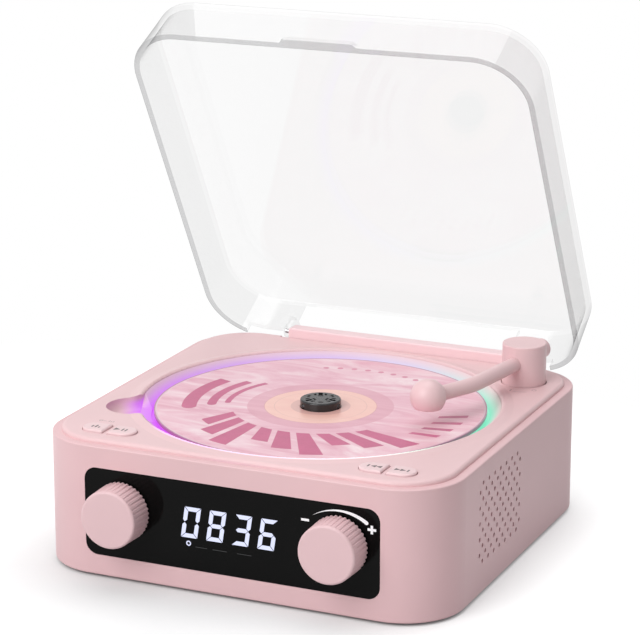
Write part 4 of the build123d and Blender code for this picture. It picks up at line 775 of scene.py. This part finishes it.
clear_mirror.inputs[2].default_value = 0.03
tree.links.new(clear_power.outputs[0], clear_mirror.inputs[0])
clear_mix = tree.nodes.new("ShaderNodeMixShader")
tree.links.new(clear_mirror.outputs[0], clear_mix.inputs["Fac"])
tree.links.new(clear_pass.outputs[0], clear_mix.inputs[1])
tree.links.new(clear_gloss.outputs[0], clear_mix.inputs[2])
tree.links.new(clear_mix.outputs[0], clear_out.inputs["Surface"])
finish(clear, "dust_cover")


# Speakers: pressed paper cones in painted baskets behind the grilles. The cones are matt and
# coarse, the baskets smooth.
finish(moulded("cone_black", rgb(34, 34, 35), rough=0.8, specular=0.2, grain=600.0,
               depth=0.0002), "speaker_cones")
finish(moulded("basket_black", rgb(40, 40, 42), rough=0.45), "left_speaker", "right_speaker")


# Rear ports, bottom cover and the plain fixings: dark plastic, bright sockets and zinc screws.
# The switches and the small board parts share the black plastic.
finish(moulded("port_dark", rgb(48, 48, 50), rough=0.5), "port_panel", "bottom_cover")
finish(moulded("socket_steel", rgb(188, 188, 190), rough=0.3, metal=1.0),
       "usb_socket", "power_inlet")
finish(moulded("jack_black", rgb(24, 24, 25), rough=0.4),
       "aux_jack", "arm_switch", "key_switches", "board_parts")
screw_zinc = moulded("screw_zinc", rgb(120, 120, 124), rough=0.35, metal=1.0)
finish(screw_zinc, "deck_screws", "board_screws", "mech_screws", "speaker_screws")


# Base screws: one cross head screw in each well of the bottom cover, grown on its point by
# Geometry Nodes, each turned by chance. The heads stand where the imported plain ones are.
def calc(tree, operation, first, second):
    """One maths node on two sockets or numbers."""
    step = tree.nodes.new("ShaderNodeMath")
    step.operation = operation
    for socket, value in ((step.inputs[0], first), (step.inputs[1], second)):
        if isinstance(value, (int, float)):
            socket.default_value = value
        else:
            tree.links.new(value, socket)
    return step.outputs[0]


def along(tree, kind, size_socket, x=None, y=None, z=None):
    """Feed a vector socket from up to three number sockets."""
    join = tree.nodes.new("ShaderNodeCombineXYZ")
    for axis, value in (("X", x), ("Y", y), ("Z", z)):
        if value is not None:
            tree.links.new(value, join.inputs[axis])
    tree.links.new(join.outputs["Vector"], kind.inputs[size_socket])


screw_tree = bpy.data.node_groups.new("cross_head_screws", "GeometryNodeTree")
screw_tree.interface.new_socket("Screws", in_out="OUTPUT", socket_type="NodeSocketGeometry")
screw_tree.interface.new_socket("Points", in_out="INPUT", socket_type="NodeSocketGeometry")
for label, size in (("Head Radius", 0.0024), ("Head Height", 0.0009), ("Shank Radius", 0.00125),
                    ("Shank Length", 0.011), ("Recess Width", 0.00055),
                    ("Recess Length", 0.0027), ("Recess Depth", 0.0005)):
    entry = screw_tree.interface.new_socket(label, in_out="INPUT", socket_type="NodeSocketFloat")
    entry.default_value = size
entry = screw_tree.interface.new_socket("Seed", in_out="INPUT", socket_type="NodeSocketInt")
entry.default_value = 11
screw_tree.interface.new_socket("Finish", in_out="INPUT", socket_type="NodeSocketMaterial")
given = screw_tree.nodes.new("NodeGroupInput").outputs
made = screw_tree.nodes.new("NodeGroupOutput")
link = screw_tree.links.new

# The head is a low cone with a bevelled face, standing on its shank
head = screw_tree.nodes.new("GeometryNodeMeshCone")
head.inputs["Vertices"].default_value = 32
link(calc(screw_tree, "MULTIPLY", given["Head Radius"], 0.86), head.inputs["Radius Bottom"])
link(given["Head Radius"], head.inputs["Radius Top"])
link(given["Head Height"], head.inputs["Depth"])
shank = screw_tree.nodes.new("GeometryNodeMeshCylinder")
shank.inputs["Vertices"].default_value = 16
link(given["Shank Radius"], shank.inputs["Radius"])
link(calc(screw_tree, "ADD", given["Shank Length"],
          calc(screw_tree, "MULTIPLY", given["Head Height"], 0.4)), shank.inputs["Depth"])
lift = screw_tree.nodes.new("GeometryNodeTransform")
link(shank.outputs["Mesh"], lift.inputs["Geometry"])
along(screw_tree, lift, "Translation",
      z=calc(screw_tree, "ADD", calc(screw_tree, "MULTIPLY", given["Shank Length"], 0.5),
             calc(screw_tree, "MULTIPLY", given["Head Height"], 0.8)))
whole = screw_tree.nodes.new("GeometryNodeMeshBoolean")
whole.operation = "UNION"
link(head.outputs["Mesh"], whole.inputs["Mesh 2"])
link(lift.outputs["Geometry"], whole.inputs["Mesh 2"])

# The cross recess is cut by two bars
recess = screw_tree.nodes.new("GeometryNodeMeshBoolean")
recess.operation = "DIFFERENCE"
link(whole.outputs["Mesh"], recess.inputs["Mesh 1"])
deep = calc(screw_tree, "MULTIPLY", given["Recess Depth"], 2.0)
for wide, long in (("Recess Width", "Recess Length"), ("Recess Length", "Recess Width")):
    bar = screw_tree.nodes.new("GeometryNodeMeshCube")
    along(screw_tree, bar, "Size", given[wide], given[long], deep)
    link(bar.outputs["Mesh"], recess.inputs["Mesh 2"])

# One screw on each point, turned by chance
chance = screw_tree.nodes.new("FunctionNodeRandomValue")
chance.data_type = "FLOAT"
chance_out = [o for o in chance.outputs if o.enabled][0]
[i for i in chance.inputs if i.enabled and i.name == "Max"][0].default_value = pi
link(given["Seed"], chance.inputs["Seed"])
facing = screw_tree.nodes.new("FunctionNodeEulerToRotation")
along(screw_tree, facing, "Euler", z=chance_out)
stand = screw_tree.nodes.new("GeometryNodeInstanceOnPoints")
link(given["Points"], stand.inputs["Points"])
link(recess.outputs["Mesh"], stand.inputs["Instance"])
link(facing.outputs["Rotation"], stand.inputs["Rotation"])
real = screw_tree.nodes.new("GeometryNodeRealizeInstances")
link(stand.outputs["Instances"], real.inputs["Geometry"])
paint = screw_tree.nodes.new("GeometryNodeSetMaterial")
link(real.outputs["Geometry"], paint.inputs["Geometry"])
link(given["Finish"], paint.inputs["Material"])
link(paint.outputs["Geometry"], made.inputs["Screws"])

well_points = bpy.data.meshes.new("well_points")
well_x, well_y, well_z = 0.0635, 0.0615, 0.00165
well_points.from_pydata([(a * well_x, b * well_y, well_z) for a in (-1, 1) for b in (-1, 1)],
                        [], [])
well_holder = bpy.data.objects.new("well_points", well_points)
bpy.context.scene.collection.objects.link(well_holder)
grower = well_holder.modifiers.new("screws", "NODES")
grower.node_group = screw_tree
for entry in screw_tree.interface.items_tree:
    if entry.in_out == "INPUT" and entry.name == "Finish":
        grower[entry.identifier] = screw_zinc
ready = well_holder.evaluated_get(bpy.context.evaluated_depsgraph_get())
screw_mesh = bpy.data.meshes.new_from_object(ready)
bpy.data.objects.remove(well_holder)
cross_screws = bpy.data.objects.new("cross_screws", screw_mesh)
bpy.context.scene.collection.objects.link(cross_screws)
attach(cross_screws, "body")
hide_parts("base_screws")


# Inner works: green boards, plated chassis and motors, black sled and white gears. They show
# only with the covers off.
finish(moulded("board_green", rgb(24, 92, 54), rough=0.35, shade=0.12, patch=90.0),
       "main_board", "display_board", "key_boards")
finish(moulded("plated_steel", rgb(170, 172, 176), rough=0.34, metal=1.0, shade=0.05),
       "mech_chassis", "spindle_motor", "feed_motor")
finish(moulded("sled_black", rgb(32, 32, 34), rough=0.45), "optical_sled")
finish(moulded("gear_white", rgb(232, 230, 222), rough=0.4), "feed_gear", "feed_pinion")
finish(moulded("cable_white", rgb(226, 226, 222), rough=0.5), "flat_cable")
lens_blue = moulded("lens_blue", rgb(90, 110, 190), rough=0.08, specular=0.6, shade=0.04)
finish(lens_blue, "sled_lens")
